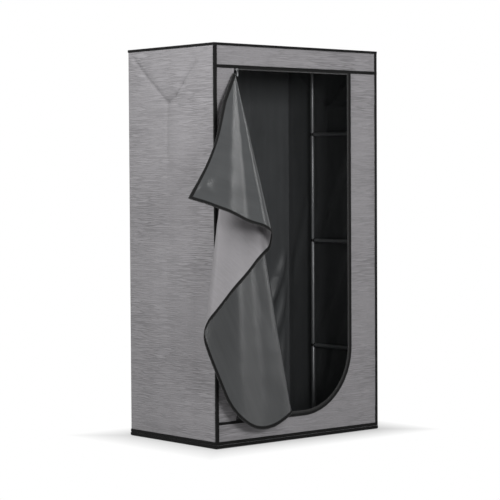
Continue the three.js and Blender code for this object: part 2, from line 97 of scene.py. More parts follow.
# Cloth
CLOTH_STEP = 0.006
CLOTH_THICK = 0.0011
FLAP_THICK = 0.0009
SEWN_MARGIN = 0.006
EDGE_FADE = 0.04
PRESSED_WIDTH = 0.012
ROOF_CREASE = 0.2
MARK_WIDTH = 0.0045
DASH_PITCH = 0.0052
DOT_PITCH = 0.0031

# Tints of the greys
CLOTH_TINT = (1.0, 0.972, 1.01)
FILM_TINT = (0.955, 1.0, 1.035)
PAINT_TINT = (0.97, 1, 1.03)
PLATING_TINT = (0.98, 1, 1.02)

# Door flap, a cone of cloth from the zip's top left end; the same run of folds as in the part's source
FLAP_STAND = 0.0008
FLAP_START = 0.018
FLAP_CORNER_X, FLAP_CORNER_Z = DOOR_WIDTH - CORNER_R, DOOR_HEIGHT - CORNER_R
FLAP_TAPE_EDGES, FLAP_TAPE_THICK = (0.0006, 0.0060), 0.0014
FLAP_BINDING_EDGES, FLAP_BINDING_THICK = (0.0020, 0.0145), 0.0028
FLAP_STITCH_INSETS = (0.0040, 0.0128)
SAG_START, SAG_DEPTH = 0.15, 0.024
CURL_ACROSS, CURL_DOWN, CURL_DEPTH = 0.545, 0.032, 0.010
FOLD_RATIOS = [
    (0, 0), (0.1, 0.001), (0.185, 0.002), (0.203, 0.0085), (0.19, 0.019), (0.142, 0.028), (-0.01, 0.052),
    (-0.2, 0.056), (-0.216, 0.095), (-0.208, 0.115), (-0.15, 0.24), (-0.108, 0.34), (-0.062, 0.35),
    (-0.105, 0.455), (-0.285, 0.42), (-0.69, 0.28),
]
FOLD_STEPS = 16


# Materials

class Wire:
    """An output of a shader node; arithmetic on it adds Math nodes."""

    def __init__(self, nodes, socket):
        self.nodes = nodes
        self.socket = socket

    def maths(self, operation, *values):
        return self.nodes.add("ShaderNodeMath", {"operation": operation}, dict(enumerate(values)))

    def __add__(self, other):
        return self.maths("ADD", self, other)

    def __radd__(self, other):
        return self.maths("ADD", other, self)

    def __sub__(self, other):
        return self.maths("SUBTRACT", self, other)

    def __rsub__(self, other):
        return self.maths("SUBTRACT", other, self)

    def __mul__(self, other):
        return self.maths("MULTIPLY", self, other)

    def __rmul__(self, other):
        return self.maths("MULTIPLY", other, self)

    def sine(self):
        return self.maths("SINE", self)

    def size(self):
        return self.maths("ABSOLUTE", self)


class Nodes:
    """A node tree, and one way to add any node to it."""

    def __init__(self, tree):
        self.tree = tree

    def add(self, kind, settings=None, sockets=None, output=0):
        node = self.tree.nodes.new(kind)
        for key, value in (settings or {}).items():
            setattr(node, key, value)
        for socket, value in (sockets or {}).items():
            self.feed(node.inputs[socket], value)
        return Wire(self, node.outputs[output])

    def feed(self, socket, value):
        if isinstance(value, Wire):
            self.tree.links.new(value.socket, socket)
        else:
            socket.default_value = value

    def seen_white(self):
        """1 for the rays that see the background as white: those of the camera, of gloss and of glass."""
        kinds = self.add("ShaderNodeLightPath").socket.node.outputs
        seen = Wire(self, kinds["Is Camera Ray"])
        for other in ("Is Glossy Ray", "Is Transmission Ray"):
            seen = seen.maths("MAXIMUM", seen, Wire(self, kinds[other]))
        return seen


class Look(Nodes):
    """A material with its main shader."""

    def __init__(self, name, **constants):
        self.material = bpy.data.materials.new(name)
        self.material.use_nodes = True
        super().__init__(self.material.node_tree)
        self.shader = self.tree.nodes["Principled BSDF"]
        for socket, value in constants.items():
            self.shader.inputs[socket.replace("_", " ")].default_value = value

    def vector(self, x, y, z=0.0):
        return self.add("ShaderNodeCombineXYZ", sockets={0: x, 1: y, 2: z})

    def parts(self, vector):
        node = self.add("ShaderNodeSeparateXYZ", sockets={0: vector})
        return [Wire(self, out) for out in node.socket.node.outputs]

    def cloth_place(self):
        """Metres along and across the cloth, from the piece's own map."""
        return self.parts(self.add("ShaderNodeUVMap", {"uv_map": "cloth"}))[:2]

    def object_place(self):
        return self.add("ShaderNodeTexCoord", output=3)

    def noise(self, vector, scale, detail, roughness=0.5):
        sockets = {"Vector": vector, "Scale": scale, "Detail": detail, "Roughness": roughness}
        return self.add("ShaderNodeTexNoise", sockets=sockets)

    def streaks(self, x, y, cells, detail, roughness=0.5):
        """Noise with its own number of cells for each metre along x and along y."""
        return self.noise(self.vector(x * cells[0], y * cells[1]), 1, detail, roughness)

    def between(self, value, low, high):
        """0 at low and 1 at high, held outside them."""
        sockets = {"Value": value, "From Min": low, "From Max": high}
        return self.add("ShaderNodeMapRange", {"clamp": True}, sockets)

    def near(self, value, centre, inner, outer):
        """1 where a value is within inner of the centre, fading to 0 at outer from it."""
        return 1 - self.between((value - centre).size(), inner, outer)

    def mix(self, factor, first, second):
        colours = {0: factor, 6: first, 7: second}
        return self.add("ShaderNodeMix", {"data_type": "RGBA"}, colours, output=2)

    def blend(self, value, low, high, first, second):
        """The first colour where a value is low, running to the second where it is high."""
        return self.mix(self.between(value, low, high), first, second)

    def done(self, colour, height, distance, strength, roughness=None):
        """Feeds the main shader a colour, a bump and, where it is given, a roughness."""
        sockets = {"Strength": strength, "Distance": distance, "Height": height}
        self.feed(self.shader.inputs["Base Color"], colour)
        self.feed(self.shader.inputs["Normal"], self.add("ShaderNodeBump", sockets=sockets))
        if roughness:
            self.feed(self.shader.inputs["Roughness"], roughness)
        return self.material


def grey(level, tint=(1, 1, 1)):
    return (level * tint[0], level * tint[1], level * tint[2], 1)


def wave(place, pitch):
    """A sine wave over a place in metres."""
    return (place * (2 * math.pi / pitch)).sine()


def embossed_cloth(name, slub_strength, level, wear):
    """Grey non-woven cover cloth: fine slubs that run across it, each a furrow painted darker as shade beside
    a ridge painted lighter as a highlight, a pressed pattern and loose fibres.
    """
    look = Look(name, Roughness=0.9, Sheen_Weight=0.1, Specular_IOR_Level=0.25)

    def tone(share):
        return grey(level * share, CLOTH_TINT)

    across, up = look.cloth_place()
    drift = look.streaks(across, up, (5, 4), 1) * 0.008
    slub = look.streaks(across, up + drift, (7, 118), 1)
    calm = look.between(look.streaks(across, up, (2.4, 3.1), 2), 0.36, 0.62)
    furrow_with_painted_shade = look.near(slub, 0.5, 0.01, 0.075) * (0.25 + calm * 0.75) * slub_strength
    ridge_with_painted_highlight = look.near(slub, 0.63, 0.01, 0.06) * (0.4 + calm * 0.6) * slub_strength
    grain = look.streaks(across, up, (60, 400), 2, 0.6)
    fibre = look.streaks(across, up, (420, 640), 2, 0.7)
    patch = look.streaks(across, up, (3.5, 2.5), 3)
    dashes = wave(across, DASH_PITCH) * wave(up, DASH_PITCH / 2)
    fold = look.add("ShaderNodeAttribute", {"attribute_name": "painted_crease_shade"}, output=2)
    colour = look.blend(grain, 0.3, 0.7, tone(0.92), tone(1.09))
    # Painted shade in the slubs' furrows, then a painted highlight on their ridges
    colour = look.mix(furrow_with_painted_shade * 0.85, colour, tone(0.6))
    colour = look.mix(ridge_with_painted_highlight * 0.7, colour, tone(1.32))
    colour = look.mix(look.between(patch, 0.3, 0.7) * wear, colour, grey(level * 1.3, (1, 0.96, 1)))
    colour = look.mix(look.between(fibre, 0.35, 0.75) * 0.22, colour, tone(1.35))
    height = grain * 0.5 + dashes * 0.16 + fibre * 0.25 + ridge_with_painted_highlight * 0.5 - furrow_with_painted_shade * 1.2
    # Painted shade: the colour runs to near black along the cover's creases, by the crease darkness stored on
    # the mesh
    return look.done(look.mix(fold, colour, grey(0.10, CLOTH_TINT)), height, 0.0011, 0.7)


def coated_cloth(name, level, roughness):
    """The cloth's inner face: a smooth silver-grey film with soft streaks and pressed dots."""
    look = Look(name, Specular_IOR_Level=0.3)
    across, up = look.cloth_place()
    streak = look.streaks(across, up, (34, 3), 3, 0.6)
    haze = look.streaks(across, up, (7, 5), 2)
    dots = wave(across, DOT_PITCH) * wave(up, DOT_PITCH)
    colour = look.blend(streak, 0.3, 0.7, grey(level * 0.84, FILM_TINT), grey(level, FILM_TINT))
    colour = look.mix(look.between(haze, 0.35, 0.7) * 0.4, colour, grey(level * 1.2, FILM_TINT))
    height = dots * 0.12 + streak * 0.5 + haze * 0.6
    return look.done(colour, height, 0.0012, 0.35, roughness + streak * 0.12)


def woven_tape(name, level, rib):
    """Woven ribbon with ribs across it and worn, paler edges of its yarns."""
    look = Look(name, Roughness=0.85, Specular_IOR_Level=0.12)
    along, across = look.cloth_place()
    ribs = wave(along, rib)
    yarn = (across * (2 * math.pi / (rib * 1.4)) + ribs).sine()
    dust = look.streaks(along, across, (60, 240), 3, 0.6)
    height = ribs * 0.5 + yarn * 0.5
    colour = look.blend(height, -0.8, 1, grey(level * 0.7), grey(level * 1.45))
    colour = look.mix(look.between(dust, 0.5, 0.8) * 0.35, colour, grey(level * 2.3))
    return look.done(colour, height, rib * 0.3, 0.6)


def sewing_thread():
    look = Look("sewing_thread", Roughness=0.7, Specular_IOR_Level=0.2)
    twist = look.noise(look.object_place(), 1500, 2)
    return look.done(look.mix(twist, grey(0.018), grey(0.05)), twist, 0.0002, 0.5)


def nylon_coil():
    look = Look("nylon_coil", Roughness=0.38, Specular_IOR_Level=0.5)
    rub = look.noise(look.object_place(), 240, 2)
    colour = look.blend(rub, 0.35, 0.7, grey(0.014), grey(0.032))
    return look.done(colour, rub, 0.0002, 0.4)


def powder_coat():
    """Grey powder coat on the frame's tubes, with its fine peel and a few pale rubs."""
    look = Look("powder_coat", Metallic=0.45, Specular_IOR_Level=0.5)
    place = look.object_place()
    peel = look.noise(place, 900, 2)
    cloud = look.noise(place, 14, 3)
    rubs = look.between(look.noise(place, 70, 4, 0.65), 0.62, 0.72)
    colour = look.blend(cloud, 0.3, 0.7, grey(0.2, PAINT_TINT), grey(0.25, PAINT_TINT))
    roughness = 0.3 + cloud * 0.12 + rubs * 0.1
    return look.done(look.mix(rubs * 0.5, colour, grey(0.4)), peel, 0.00025, 0.35, roughness)


def moulded_plastic():
    look = Look("moulded_plastic", Specular_IOR_Level=0.3)
    place = look.object_place()
    grain = look.noise(place, 1300, 2, 0.6)
    flow = look.noise(place, 45, 3)
    colour = look.blend(flow, 0.3, 0.75, grey(0.009), grey(0.021))
    return look.done(colour, grain, 0.0002, 0.45, 0.4 + flow * 0.2)


def plated_metal():
    """Die-cast zip metal: dull plating with brush marks and paler rubbed places."""
    look = Look("plated_metal", Metallic=0.95, Specular_IOR_Level=0.5)
    place = look.object_place()
    x, y, z = look.parts(place)
    brush = look.noise(look.vector(x * 2600, y * 300, z * 300), 1, 2, 0.6)
    rubs = look.noise(place, 160, 3)
    colour = look.blend(rubs, 0.45, 0.7, grey(0.12, PLATING_TINT), grey(0.3, PLATING_TINT))
    return look.done(colour, brush, 0.00012, 0.4, 0.3 + brush * 0.16)


OUTER = embossed_cloth("embossed_cloth", 1.0, 0.245, 0.16)
# The door's outer cloth is the cover's own cloth at a lower level: the darker level is painted shade, and its
# paler rubbed patches are wear
DOOR_OUTER_PAINTED_DARKER = embossed_cloth("rubbed_door_cloth_painted_darker", 0.3, 0.2, 0.7)
INNER = coated_cloth("coated_cloth", 0.078, 0.33)
# The door's coating is the same film as inside the cover at a lower level: the darker level is painted shade
DOOR_INNER_PAINTED_DARKER = coated_cloth("door_coating_painted_darker", 0.044, 0.18)
BLACK_TAPE = woven_tape("black_binding", 0.006, 0.0011)
GREY_TAPE = woven_tape("zip_tape_weave", 0.026, 0.0009)
THREAD = sewing_thread()
COIL = nylon_coil()
POWDER = powder_coat()
PLASTIC = moulded_plastic()
METAL = plated_metal()


# Mesh helpers

def select_only(piece):
    bpy.ops.object.select_all(action="DESELECT")
    piece.select_set(True)
    bpy.context.view_layer.objects.active = piece


def apply_modifier(piece, kind, **settings):
    select_only(piece)
    modifier = piece.modifiers.new(kind.lower(), kind)
    for key, value in settings.items():
        setattr(modifier, key, value)
    bpy.ops.object.modifier_apply(modifier=modifier.name)


def join(pieces):
    select_only(pieces[0])
    for piece in pieces:
        piece.select_set(True)
    bpy.ops.object.join()
    return bpy.context.object


def finish_piece(piece, name, body, material, smooth):
    """Names a piece, settles its place in its mesh, rounds its shading up to an angle and lets it ride."""
    piece.name = name
    piece.data.name = name
    select_only(piece)
    bpy.ops.object.transform_apply(location=True, rotation=True, scale=True)
    if not piece.data.materials:
        piece.data.materials.append(material)
    bpy.ops.object.shade_smooth_by_angle(angle=math.radians(smooth))
    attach(piece, body)
    return piece


def mesh_piece(points, faces, map_points=None):
    """A new object from points and faces; map_points gives each face corner its place on the cloth."""
    mesh = bpy.data.meshes.new("piece")
    mesh.from_pydata(np.asarray(points, float).reshape(-1, 3).tolist(), [], faces)
    if map_points is not None:
        layer = mesh.uv_layers.new(name="cloth")
        layer.data.foreach_set("uv", np.asarray(map_points, float).ravel())
    piece = bpy.data.objects.new("piece", mesh)
    bpy.context.collection.objects.link(piece)
    return piece


def middle(low, high):
    """The point halfway between two corners of a box."""
    return [(a + b) / 2 for a, b in zip(low, high)]


def grid_faces(rows, columns, start=0):
    """Four-sided faces between the points of a grid, which are numbered row by row."""
    first = [start + i * columns + j for i in range(rows - 1) for j in range(columns - 1)]
    return [(a, a + 1, a + columns + 1, a + columns) for a in first]


def face_outwards(piece):
    select_only(piece)
    bpy.ops.object.mode_set(mode="EDIT")
    bpy.ops.mesh.select_all(action="SELECT")
    bpy.ops.mesh.normals_make_consistent(inside=False)
    bpy.ops.object.mode_set(mode="OBJECT")


def rounded_block(centre, size, edge):
    """A block with rounded edges."""
    bpy.ops.mesh.primitive_cube_add(size=1, location=centre)
    block = bpy.context.object
    block.scale = size
    bpy.ops.object.transform_apply(location=True, scale=True)
    apply_modifier(block, "BEVEL", width=edge, segments=3)
    return block


def sweep(rings, closed=False):
    """A solid whose skin joins rings of points, one after the other."""
    rings = np.asarray(rings, float)
    count, sides = rings.shape[:2]
    spans = np.linalg.norm(np.diff(rings.mean(1), axis=0), axis=1)
    along = np.concatenate([[0], np.cumsum(spans)])
    along = np.append(along, along[-1] + np.linalg.norm(rings[0].mean(0) - rings[-1].mean(0)))
    girth = np.linalg.norm(np.roll(rings[0], -1, axis=0) - rings[0], axis=1)
    round_it = np.concatenate([[0], np.cumsum(girth)])
    faces, places = [], []
    for i in range(count if closed else count - 1):
        after = (i + 1) % count
        for j in range(sides):
            beside = (j + 1) % sides
            faces.append((i * sides + j, i * sides + beside, after * sides + beside, after * sides + j))
            places += [
                (along[i], round_it[j]), (along[i], round_it[j + 1]),
                (along[i + 1], round_it[j + 1]), (along[i + 1], round_it[j]),
            ]
    if not closed:
        for ring in (0, count - 1):
            faces.append(tuple(ring * sides + j for j in range(sides)))
            places += [(along[ring], round_it[j]) for j in range(sides)]
    piece = mesh_piece(rings, faces, places)
    face_outwards(piece)
    return piece


def thicken(piece, thick, outer=OUTER, inner=INNER):
    """Gives a cloth its thickness: the woven face on its outside and the coated one inside."""
    for material in (outer, inner):
        piece.data.materials.append(material)
    apply_modifier(piece, "SOLIDIFY", thickness=thick, offset=0, material_offset=1)


def unit(rows):
    return rows / np.linalg.norm(rows, axis=1)[:, None]


def smooth_step(value):
    held = np.clip(value, 0, 1)
    return held * held * (3 - 2 * held)


def squared(value, power):
    """A sine or cosine pushed towards 1 and -1, which squares off a circle."""
    return math.copysign(abs(value) ** power, value)


def wave_set(seed, count, across, up):
    """Random waves, near the given radians for each metre, for `ripple`."""
    dice = np.random.default_rng(seed)
    return [(dice.normal(0, across), dice.normal(0, up), dice.uniform(0, 2 * math.pi)) for _ in range(count)]


def ripple(s, t, waves):
    total = sum(np.sin(s * across + t * up + phase) for across, up, phase in waves)
    return total / math.sqrt(len(waves))


def crease(s, t, start, end, depth, width):
    """A pressed mark along a straight line: deepest on it, fading over width."""
    start, end = np.array(start), np.array(end)
    run = end - start
    share = ((s - start[0]) * run[0] + (t - start[1]) * run[1]) / (run @ run)
    share = np.clip(share, 0, 1)
    away = np.hypot(s - start[0] - share * run[0], t - start[1] - share * run[1])
    return -depth * np.exp(-away / width)


def soft_fold(s, t, start, end, height, width):
    """A rounded fold in loose cloth along a straight line, running out at both of its ends."""
    start, end = np.array(start), np.array(end)
    run = end - start
    length = math.hypot(*run)
    along = ((s - start[0]) * run[0] + (t - start[1]) * run[1]) / length ** 2
    away = ((s - start[0]) * run[1] - (t - start[1]) * run[0]) / length
    ends = smooth_step((along + 0.15) / 0.35) * smooth_step((1.15 - along) / 0.35)
    return height * ends * np.exp(-(away / width) ** 2)


def paint_crease_shade(piece, s, t, marks):
    """Stores how dark the cloth is painted along each of its creases, as painted shade: (start, end,
    strength).
    """
    crease_strength = sum(-crease(s, t, start, end, strength, MARK_WIDTH) for start, end, strength in marks)
    dice = np.random.default_rng(len(marks))
    crease_strength = crease_strength * dice.uniform(0.5, 1, len(crease_strength)) if marks else np.zeros(len(s))
    layer = piece.data.attributes.new("painted_crease_shade", "FLOAT", "POINT")
    layer.data.foreach_set("value", crease_strength.astype(np.float32))


# Cover panels

def stretched_cloth(name, node, corner, across, up, width, height, shape, marks=(), hem=0.0):
    """A panel sewn in along its edges, from its lower left corner as seen from outside, flat under a hem."""
    across, up = Vector(across), Vector(up)
    outwards = np.array(across.cross(up))
    columns, rows = round(width / CLOTH_STEP), round(height / CLOTH_STEP)
    bpy.ops.mesh.primitive_grid_add(x_subdivisions=columns, y_subdivisions=rows, size=1)
    piece = bpy.context.object
    mesh = piece.data
    flat = np.empty(len(mesh.vertices) * 3)
    mesh.vertices.foreach_get("co", flat)
    flat = flat.reshape(-1, 3) + 0.5
    s, t = flat[:, 0] * width, flat[:, 1] * height
    edge = np.min([s, width - s, t - hem, height - t], axis=0)
    rise = shape(s, t) * smooth_step((edge - SEWN_MARGIN) / EDGE_FADE)
    places = np.array(corner) + s[:, None] * np.array(across) + t[:, None] * np.array(up)
    mesh.vertices.foreach_set("co", (places + rise[:, None] * outwards).ravel())
    corners = np.empty(len(mesh.loops), int)
    mesh.loops.foreach_get("vertex_index", corners)
    layer = mesh.uv_layers.active
    layer.name = "cloth"
    layer.data.foreach_set("uv", np.stack([s[corners], t[corners]], 1).ravel())
    paint_crease_shade(piece, s, t, marks)
    thicken(piece, CLOTH_THICK)
    finish_piece(piece, name, "wardrobe", None, 60)
    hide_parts(node)
    return piece


wall_height = WALL_HIGH - WALL_LOW
side_width = 2 * HALF_DEPTH
back_width = back_high.x - back_low.x
header_height = header_high.z - header_low.z
cover_width = 2 * HALF_WIDTH
side_waves = wave_set(3, 7, 9, 5)
small_waves = wave_set(4, 9, 26, 17)
back_waves = wave_set(8, 8, 7, 4)
drag_waves = wave_set(9, 8, 19, 12)
roof_waves = wave_set(12, 8, 12, 12)
front_waves = wave_set(21, 8, 10, 6)

# Creases of the way the cover was folded for its box, a V under the roof, pressed in and painted dark as
# shade: (start, end, strength)
SIDE_MARKS = [
    ((0.045, 1.552), (0.252, 1.376), 0.55), ((0.440, 1.530), (0.352, 1.448), 0.36),
    ((0.352, 1.448), (0.310, 1.402), 0.46), ((0.310, 1.402), (0.262, 1.378), 0.36),
    ((0.160, 1.381), (0.405, 1.371), 0.22), ((0.256, 1.372), (0.254, 1.150), 0.10),
]
# Pressed lines of the sides, down the middle and across: (start, end, depth, width)
SIDE_LINES = [
    ((0.256, 1.372), (0.252, 0.930), 0.0018, 0.018), ((0.252, 0.930), (0.250, 0.420), 0.0010, 0.018),
    ((0.03, 0.980), (0.52, 0.976), 0.0010, 0.012),
]
# Slack of the right side, from its front edge: (start, end, height, width) of each rounded fold
RIGHT_FOLDS = [
    ((0.18, 1.24), (0.38, 0.80), 0.013, 0.034), ((0.19, 0.80), (0.37, 0.42), 0.013, 0.030),
    ((0.14, 1.05), (0.23, 0.80), 0.009, 0.026), ((0.20, 0.52), (0.34, 0.16), 0.009, 0.030),
    ((0.30, 1.50), (0.34, 1.28), 0.005, 0.030), ((0.42, 1.00), (0.54, 0.62), -0.005, 0.026),
]
# Slack of the back, from its right end: folds that drag down from the corner with the right side
BACK_FOLDS = [
    ((0.00, 0.76), (0.14, 0.48), -0.015, 0.024), ((0.00, 0.60), (0.09, 0.36), -0.012, 0.022),
    ((0.01, 0.44), (0.05, 0.20), -0.011, 0.020), ((0.08, 0.62), (0.22, 0.30), -0.010, 0.028),
    ((0.16, 0.95), (0.30, 0.55), -0.003, 0.040), ((0.50, 0.80), (0.62, 0.40), -0.007, 0.035),
    ((0.70, 1.10), (0.80, 0.60), -0.006, 0.030),
]
# Pressed lines of the back: (height, depth) of those across it, and the shares of its width of those down it
BACK_LINES = [(1.262, 0.0030), (1.058, 0.0020), (0.63, 0.0022), (0.3, 0.0015)]
BACK_COLUMNS = (0.25, 0.5, 0.75)


def side_shape(s, t):
    rise = 0.0024 * ripple(s, t, side_waves) + 0.0005 * ripple(s, t, small_waves)
    rise += 0.0030 * np.sin(math.pi * s / side_width)
    rise += sum(crease(s, t, start, end, 0.012 * crease_strength + 0.001, 0.010) for start, end, crease_strength in SIDE_MARKS)
    for line in SIDE_LINES:
        rise += crease(s, t, *line)
    return rise


def right_shape(s, t):
    rise = side_shape(side_width - s, t)
    rise += crease(s, t, (0.10, 1.262), (0.54, 1.274), 0.0032, 0.010)
    return rise + sum(soft_fold(s, t, *fold) for fold in RIGHT_FOLDS)


def back_shape(s, t):
    low_part = smooth_step((1.0 - t) / 0.5)
    rise = 0.003 * ripple(s, t, back_waves) + 0.0022 * low_part * ripple(s + 0.5 * t, t, drag_waves)
    rise += sum(soft_fold(s, t, *fold) for fold in BACK_FOLDS)
    rise += 0.004 * np.sin(math.pi * s / back_width)
    for height, depth in BACK_LINES:
        rise += crease(s, t, (0.02, height), (back_width - 0.02, height + 0.004), depth, PRESSED_WIDTH)
    for share in BACK_COLUMNS:
        place = share * back_width
        rise += crease(s, t, (place, 0.05), (place, 1.55), 0.0022, PRESSED_WIDTH)
    return rise


def roof_shape(s, t):
    """The roof sags in its middle and is pressed along its middle line and towards its corners."""
    sag = np.clip(np.sin(math.pi * s / cover_width) * np.sin(math.pi * t / side_width), 0, 1) ** 0.6
    rise = -0.007 * sag + 0.0016 * sag * ripple(s, t, roof_waves)
    rise += crease(s, t, (cover_width / 2, 0.02), (cover_width / 2, side_width - 0.02), 0.0018, PRESSED_WIDTH)
    for y, into in ((0, ROOF_CREASE), (side_width, -ROOF_CREASE)):
        for x, across in ((0, ROOF_CREASE), (cover_width, -ROOF_CREASE)):
            rise += crease(s, t, (x, y), (x + across, y + into), 0.002, PRESSED_WIDTH)
    return rise


def header_shape(s, t):
    return 0.0012 * ripple(s, t, small_waves)


def floor_shape(s, t):
    return -0.0016 * np.abs(ripple(s, t, roof_waves))


left_panel = stretched_cloth(
    "left_side_cloth", "left_side_panel", (-HALF_WIDTH + SHEET_MIDDLE, HALF_DEPTH, WALL_LOW),
    (0, -1, 0), (0, 0, 1), side_width, wall_height, side_shape, marks=SIDE_MARKS, hem=HEM,
)
right_panel = stretched_cloth(
    "right_side_cloth", "right_side_panel", (HALF_WIDTH - SHEET_MIDDLE, -HALF_DEPTH, WALL_LOW),
    (0, 1, 0), (0, 0, 1), side_width, wall_height, right_shape, hem=HEM,
    marks=[((side_width - a, b), (side_width - c, d), crease_strength) for (a, b), (c, d), crease_strength in SIDE_MARKS],
)
back_panel = stretched_cloth(
    "back_cloth", "back_panel", (back_width / 2, HALF_DEPTH - SHEET_MIDDLE, WALL_LOW),
    (-1, 0, 0), (0, 0, 1), back_width, wall_height, back_shape, hem=HEM,
)
roof_cloth = stretched_cloth(
    "roof_cloth", "roof_panel", (-HALF_WIDTH, -HALF_DEPTH, TOP - SHEET_MIDDLE),
    (1, 0, 0), (0, 1, 0), cover_width, side_width, roof_shape,
)
header_cloth = stretched_cloth(
    "header_cloth", "header_strip", (-back_width / 2, FRONT + SHEET_MIDDLE, header_low.z),
    (1, 0, 0), (0, 0, 1), back_width, header_height, header_shape,
)
floor_cloth = stretched_cloth(
    "floor_cloth", "floor_panel", (HALF_WIDTH, -HALF_DEPTH, SHEET_MIDDLE),
    (-1, 0, 0), (0, 1, 0), cover_width, side_width, floor_shape,
)


# Front panel: a strip beside the opening, a sill under it and a margin to its right

def opening_edge(offset, top=True, left=DOOR_LEFT):
    """The zip line moved outwards by an offset, from the top left end round to the bottom left one."""
    right, bottom, high = DOOR_RIGHT + offset, DOOR_BOTTOM - offset, DOOR_TOP + offset
    radius = CORNER_R + offset
    turn = np.linspace(0, -math.pi / 2, 41)
    pieces = [
        np.linspace((DOOR_LEFT, high), (right, high), TOP_STATIONS),
        np.linspace((right, high if top else BAND_LOW + 0.001), (right, CORNER_Z), 150)[int(top):],
        np.stack([CORNER_X + radius * np.cos(turn), CORNER_Z + radius * np.sin(turn)], 1)[1:],
        np.linspace((CORNER_X, bottom), (left, bottom), 70)[1:],
    ]
    return np.concatenate(pieces if top else pieces[1:])


def front_shape(x, z):
    """How far the front panel's cloth stands out, before its edges are held flat."""
    rise = 0.0011 * ripple(x, z, front_waves) + 0.0004 * ripple(x, z, small_waves)
    rise += crease(x, z, (0.363, 1.45), (0.363, 0.25), 0.0012, 0.012)
    for height in (1.262, 0.86, 0.47):
        rise += crease(x, z, (0.30, height), (0.44, height), 0.0012, 0.010)
    return rise


def front_grids(cut, right, left, low, high):
    """Flat places (x, z) in two grids: round the opening's right and bottom, and the strip to its left."""
    inner = np.concatenate([[(DOOR_RIGHT + cut, high)], opening_edge(cut)[TOP_STATIONS:]])
    outer = inner.copy()
    on_side = inner[:, 1] >= CORNER_Z
    on_sill = inner[:, 0] <= CORNER_X
    outer[on_side, 0] = right
    outer[on_sill, 1] = low
    turn = np.nonzero(~on_side & ~on_sill)[0]
    share = (np.arange(len(turn)) + 1) / (len(turn) + 1)
    outer[turn, 0] = np.where(share < 0.5, right, right + (CORNER_X - right) * (2 * share - 1))
    outer[turn, 1] = np.where(share < 0.5, CORNER_Z + (low - CORNER_Z) * 2 * share, low)
    steps = np.linspace(0, 1, 19)
    around = inner[:, None] + (outer - inner)[:, None] * steps[None, :, None]
    sill_top = DOOR_BOTTOM - cut
    below = sill_top + (low - sill_top) * steps[::-1]
    heights = np.concatenate([below, np.linspace(sill_top, high, 176)[1:]])
    strip = np.stack(np.meshgrid(np.linspace(DOOR_LEFT, left, 14), heights, indexing="ij"), -1)
    return around, strip


def front_cloth():
    cut = TAPE_WIDTH + SEAM
    right, left, low, high = front_high.x, front_low.x, front_low.z, HEADER_SEAM
    points, faces = [], []
    for grid in front_grids(cut, right, left, low, high):
        faces += grid_faces(*grid.shape[:2], len(points))
        points += grid.reshape(-1, 2).tolist()
    flat = np.array(points)
    x, z = flat.T
    edge = np.min([right - x, x - left, z - low - HEM, high - z], axis=0)
    from_opening = smooth_step(np.abs(x - DOOR_RIGHT - cut) / 0.03)
    rise = front_shape(x, z) * smooth_step(edge / 0.03) * np.clip(from_opening, 0.25, 1)
    places = np.stack([x, FRONT + SHEET_MIDDLE - rise, z], 1)
    piece = mesh_piece(places, faces, flat[np.ravel(faces)])
    select_only(piece)
    bpy.ops.object.mode_set(mode="EDIT")
    bpy.ops.mesh.select_all(action="SELECT")
    bpy.ops.mesh.remove_doubles(threshold=0.00005)
    bpy.ops.mesh.normals_make_consistent(inside=False)
    if sum(face.normal.y * face.calc_area() for face in bmesh.from_edit_mesh(piece.data).faces) > 0:
        bpy.ops.mesh.flip_normals()
    bpy.ops.object.mode_set(mode="OBJECT")
    thicken(piece, CLOTH_THICK)
    finish_piece(piece, "front_cloth", "wardrobe", None, 60)
    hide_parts("front_panel")
    return piece


front_panel = front_cloth()


# Trim: tapes, bindings, stitches and zip teeth

def on_front(flat, lift):
    """A place (x, z) of the front, lifted outwards."""
    flat = np.asarray(flat)
    lift = np.broadcast_to(lift, flat.shape[:1])
    return np.stack([flat[:, 0], FRONT - lift, flat[:, 1]], 1)


def tape(name, body, material, slot, inner, outer, thick, place, lift):
    """A flat tape between two edges that have the same stations, with six sides on each face."""
    turn = np.linspace(0, math.pi, 7)
    shares = (1 - np.cos(turn)) / 2
    halves = thick / 2 * np.sin(turn).clip(0) ** 0.45
    ring = list(zip(shares, halves))
    ring += [(c, -h) for c, h in ring[-2:0:-1]]
    rings = np.stack([place(inner + (outer - inner) * c, lift + h) for c, h in ring], axis=1)
    return finish_piece(sweep(rings), name, body, material, 60)


def spaced(edge, pitch):
    """Places at an even pitch along an edge, with the directions along and across it."""
    steps = np.linalg.norm(np.diff(edge, axis=0), axis=1)
    run = np.concatenate([[0], np.cumsum(steps)])
    at = np.arange(pitch / 2, run[-1], pitch)
    points = np.stack([np.interp(at, run, edge[:, k]) for k in (0, 1)], 1)
    along = unit(np.gradient(points, axis=0))
    return points, along, np.stack([-along[:, 1], along[:, 0]], 1)


def prisms(edge, pitch, size, place, lift, across_it=False):
    """Points and faces of six-sided beads along an edge, lying along it as stitches or across it as teeth."""
    points, along, across = spaced(edge, pitch)
    corners = []
    for end in (-0.5, 0.5):
        for angle in np.arange(6) * math.pi / 3:
            swing, rise = math.cos(angle) / 2, math.sin(angle) / 2
            if across_it:
                flat = points + along * (swing * size[0]) + across * (end * size[1])
            else:
                taper = 0.5 * (1 + abs(swing))
                flat = points + along * (end * size[0] * taper) + across * (swing * size[1])
            corners.append(place(flat, lift + rise * size[2]))
    shape = [(0, 1, 2, 3, 4, 5), (11, 10, 9, 8, 7, 6)]
    shape += [(j, j + 6, (j + 1) % 6 + 6, (j + 1) % 6) for j in range(6)]
    places = np.stack(corners, axis=1)
    faces = [tuple(12 * i + j for j in face) for i in range(len(points)) for face in shape]
    return places.reshape(-1, 3), faces


def teeth(edge, size, place, lift):
    return prisms(edge, TOOTH_PITCH, size, place, lift, across_it=True)


def stitches(edge, place, lift):
    return prisms(edge, STITCH_PITCH, STITCH_SIZE, place, lift)


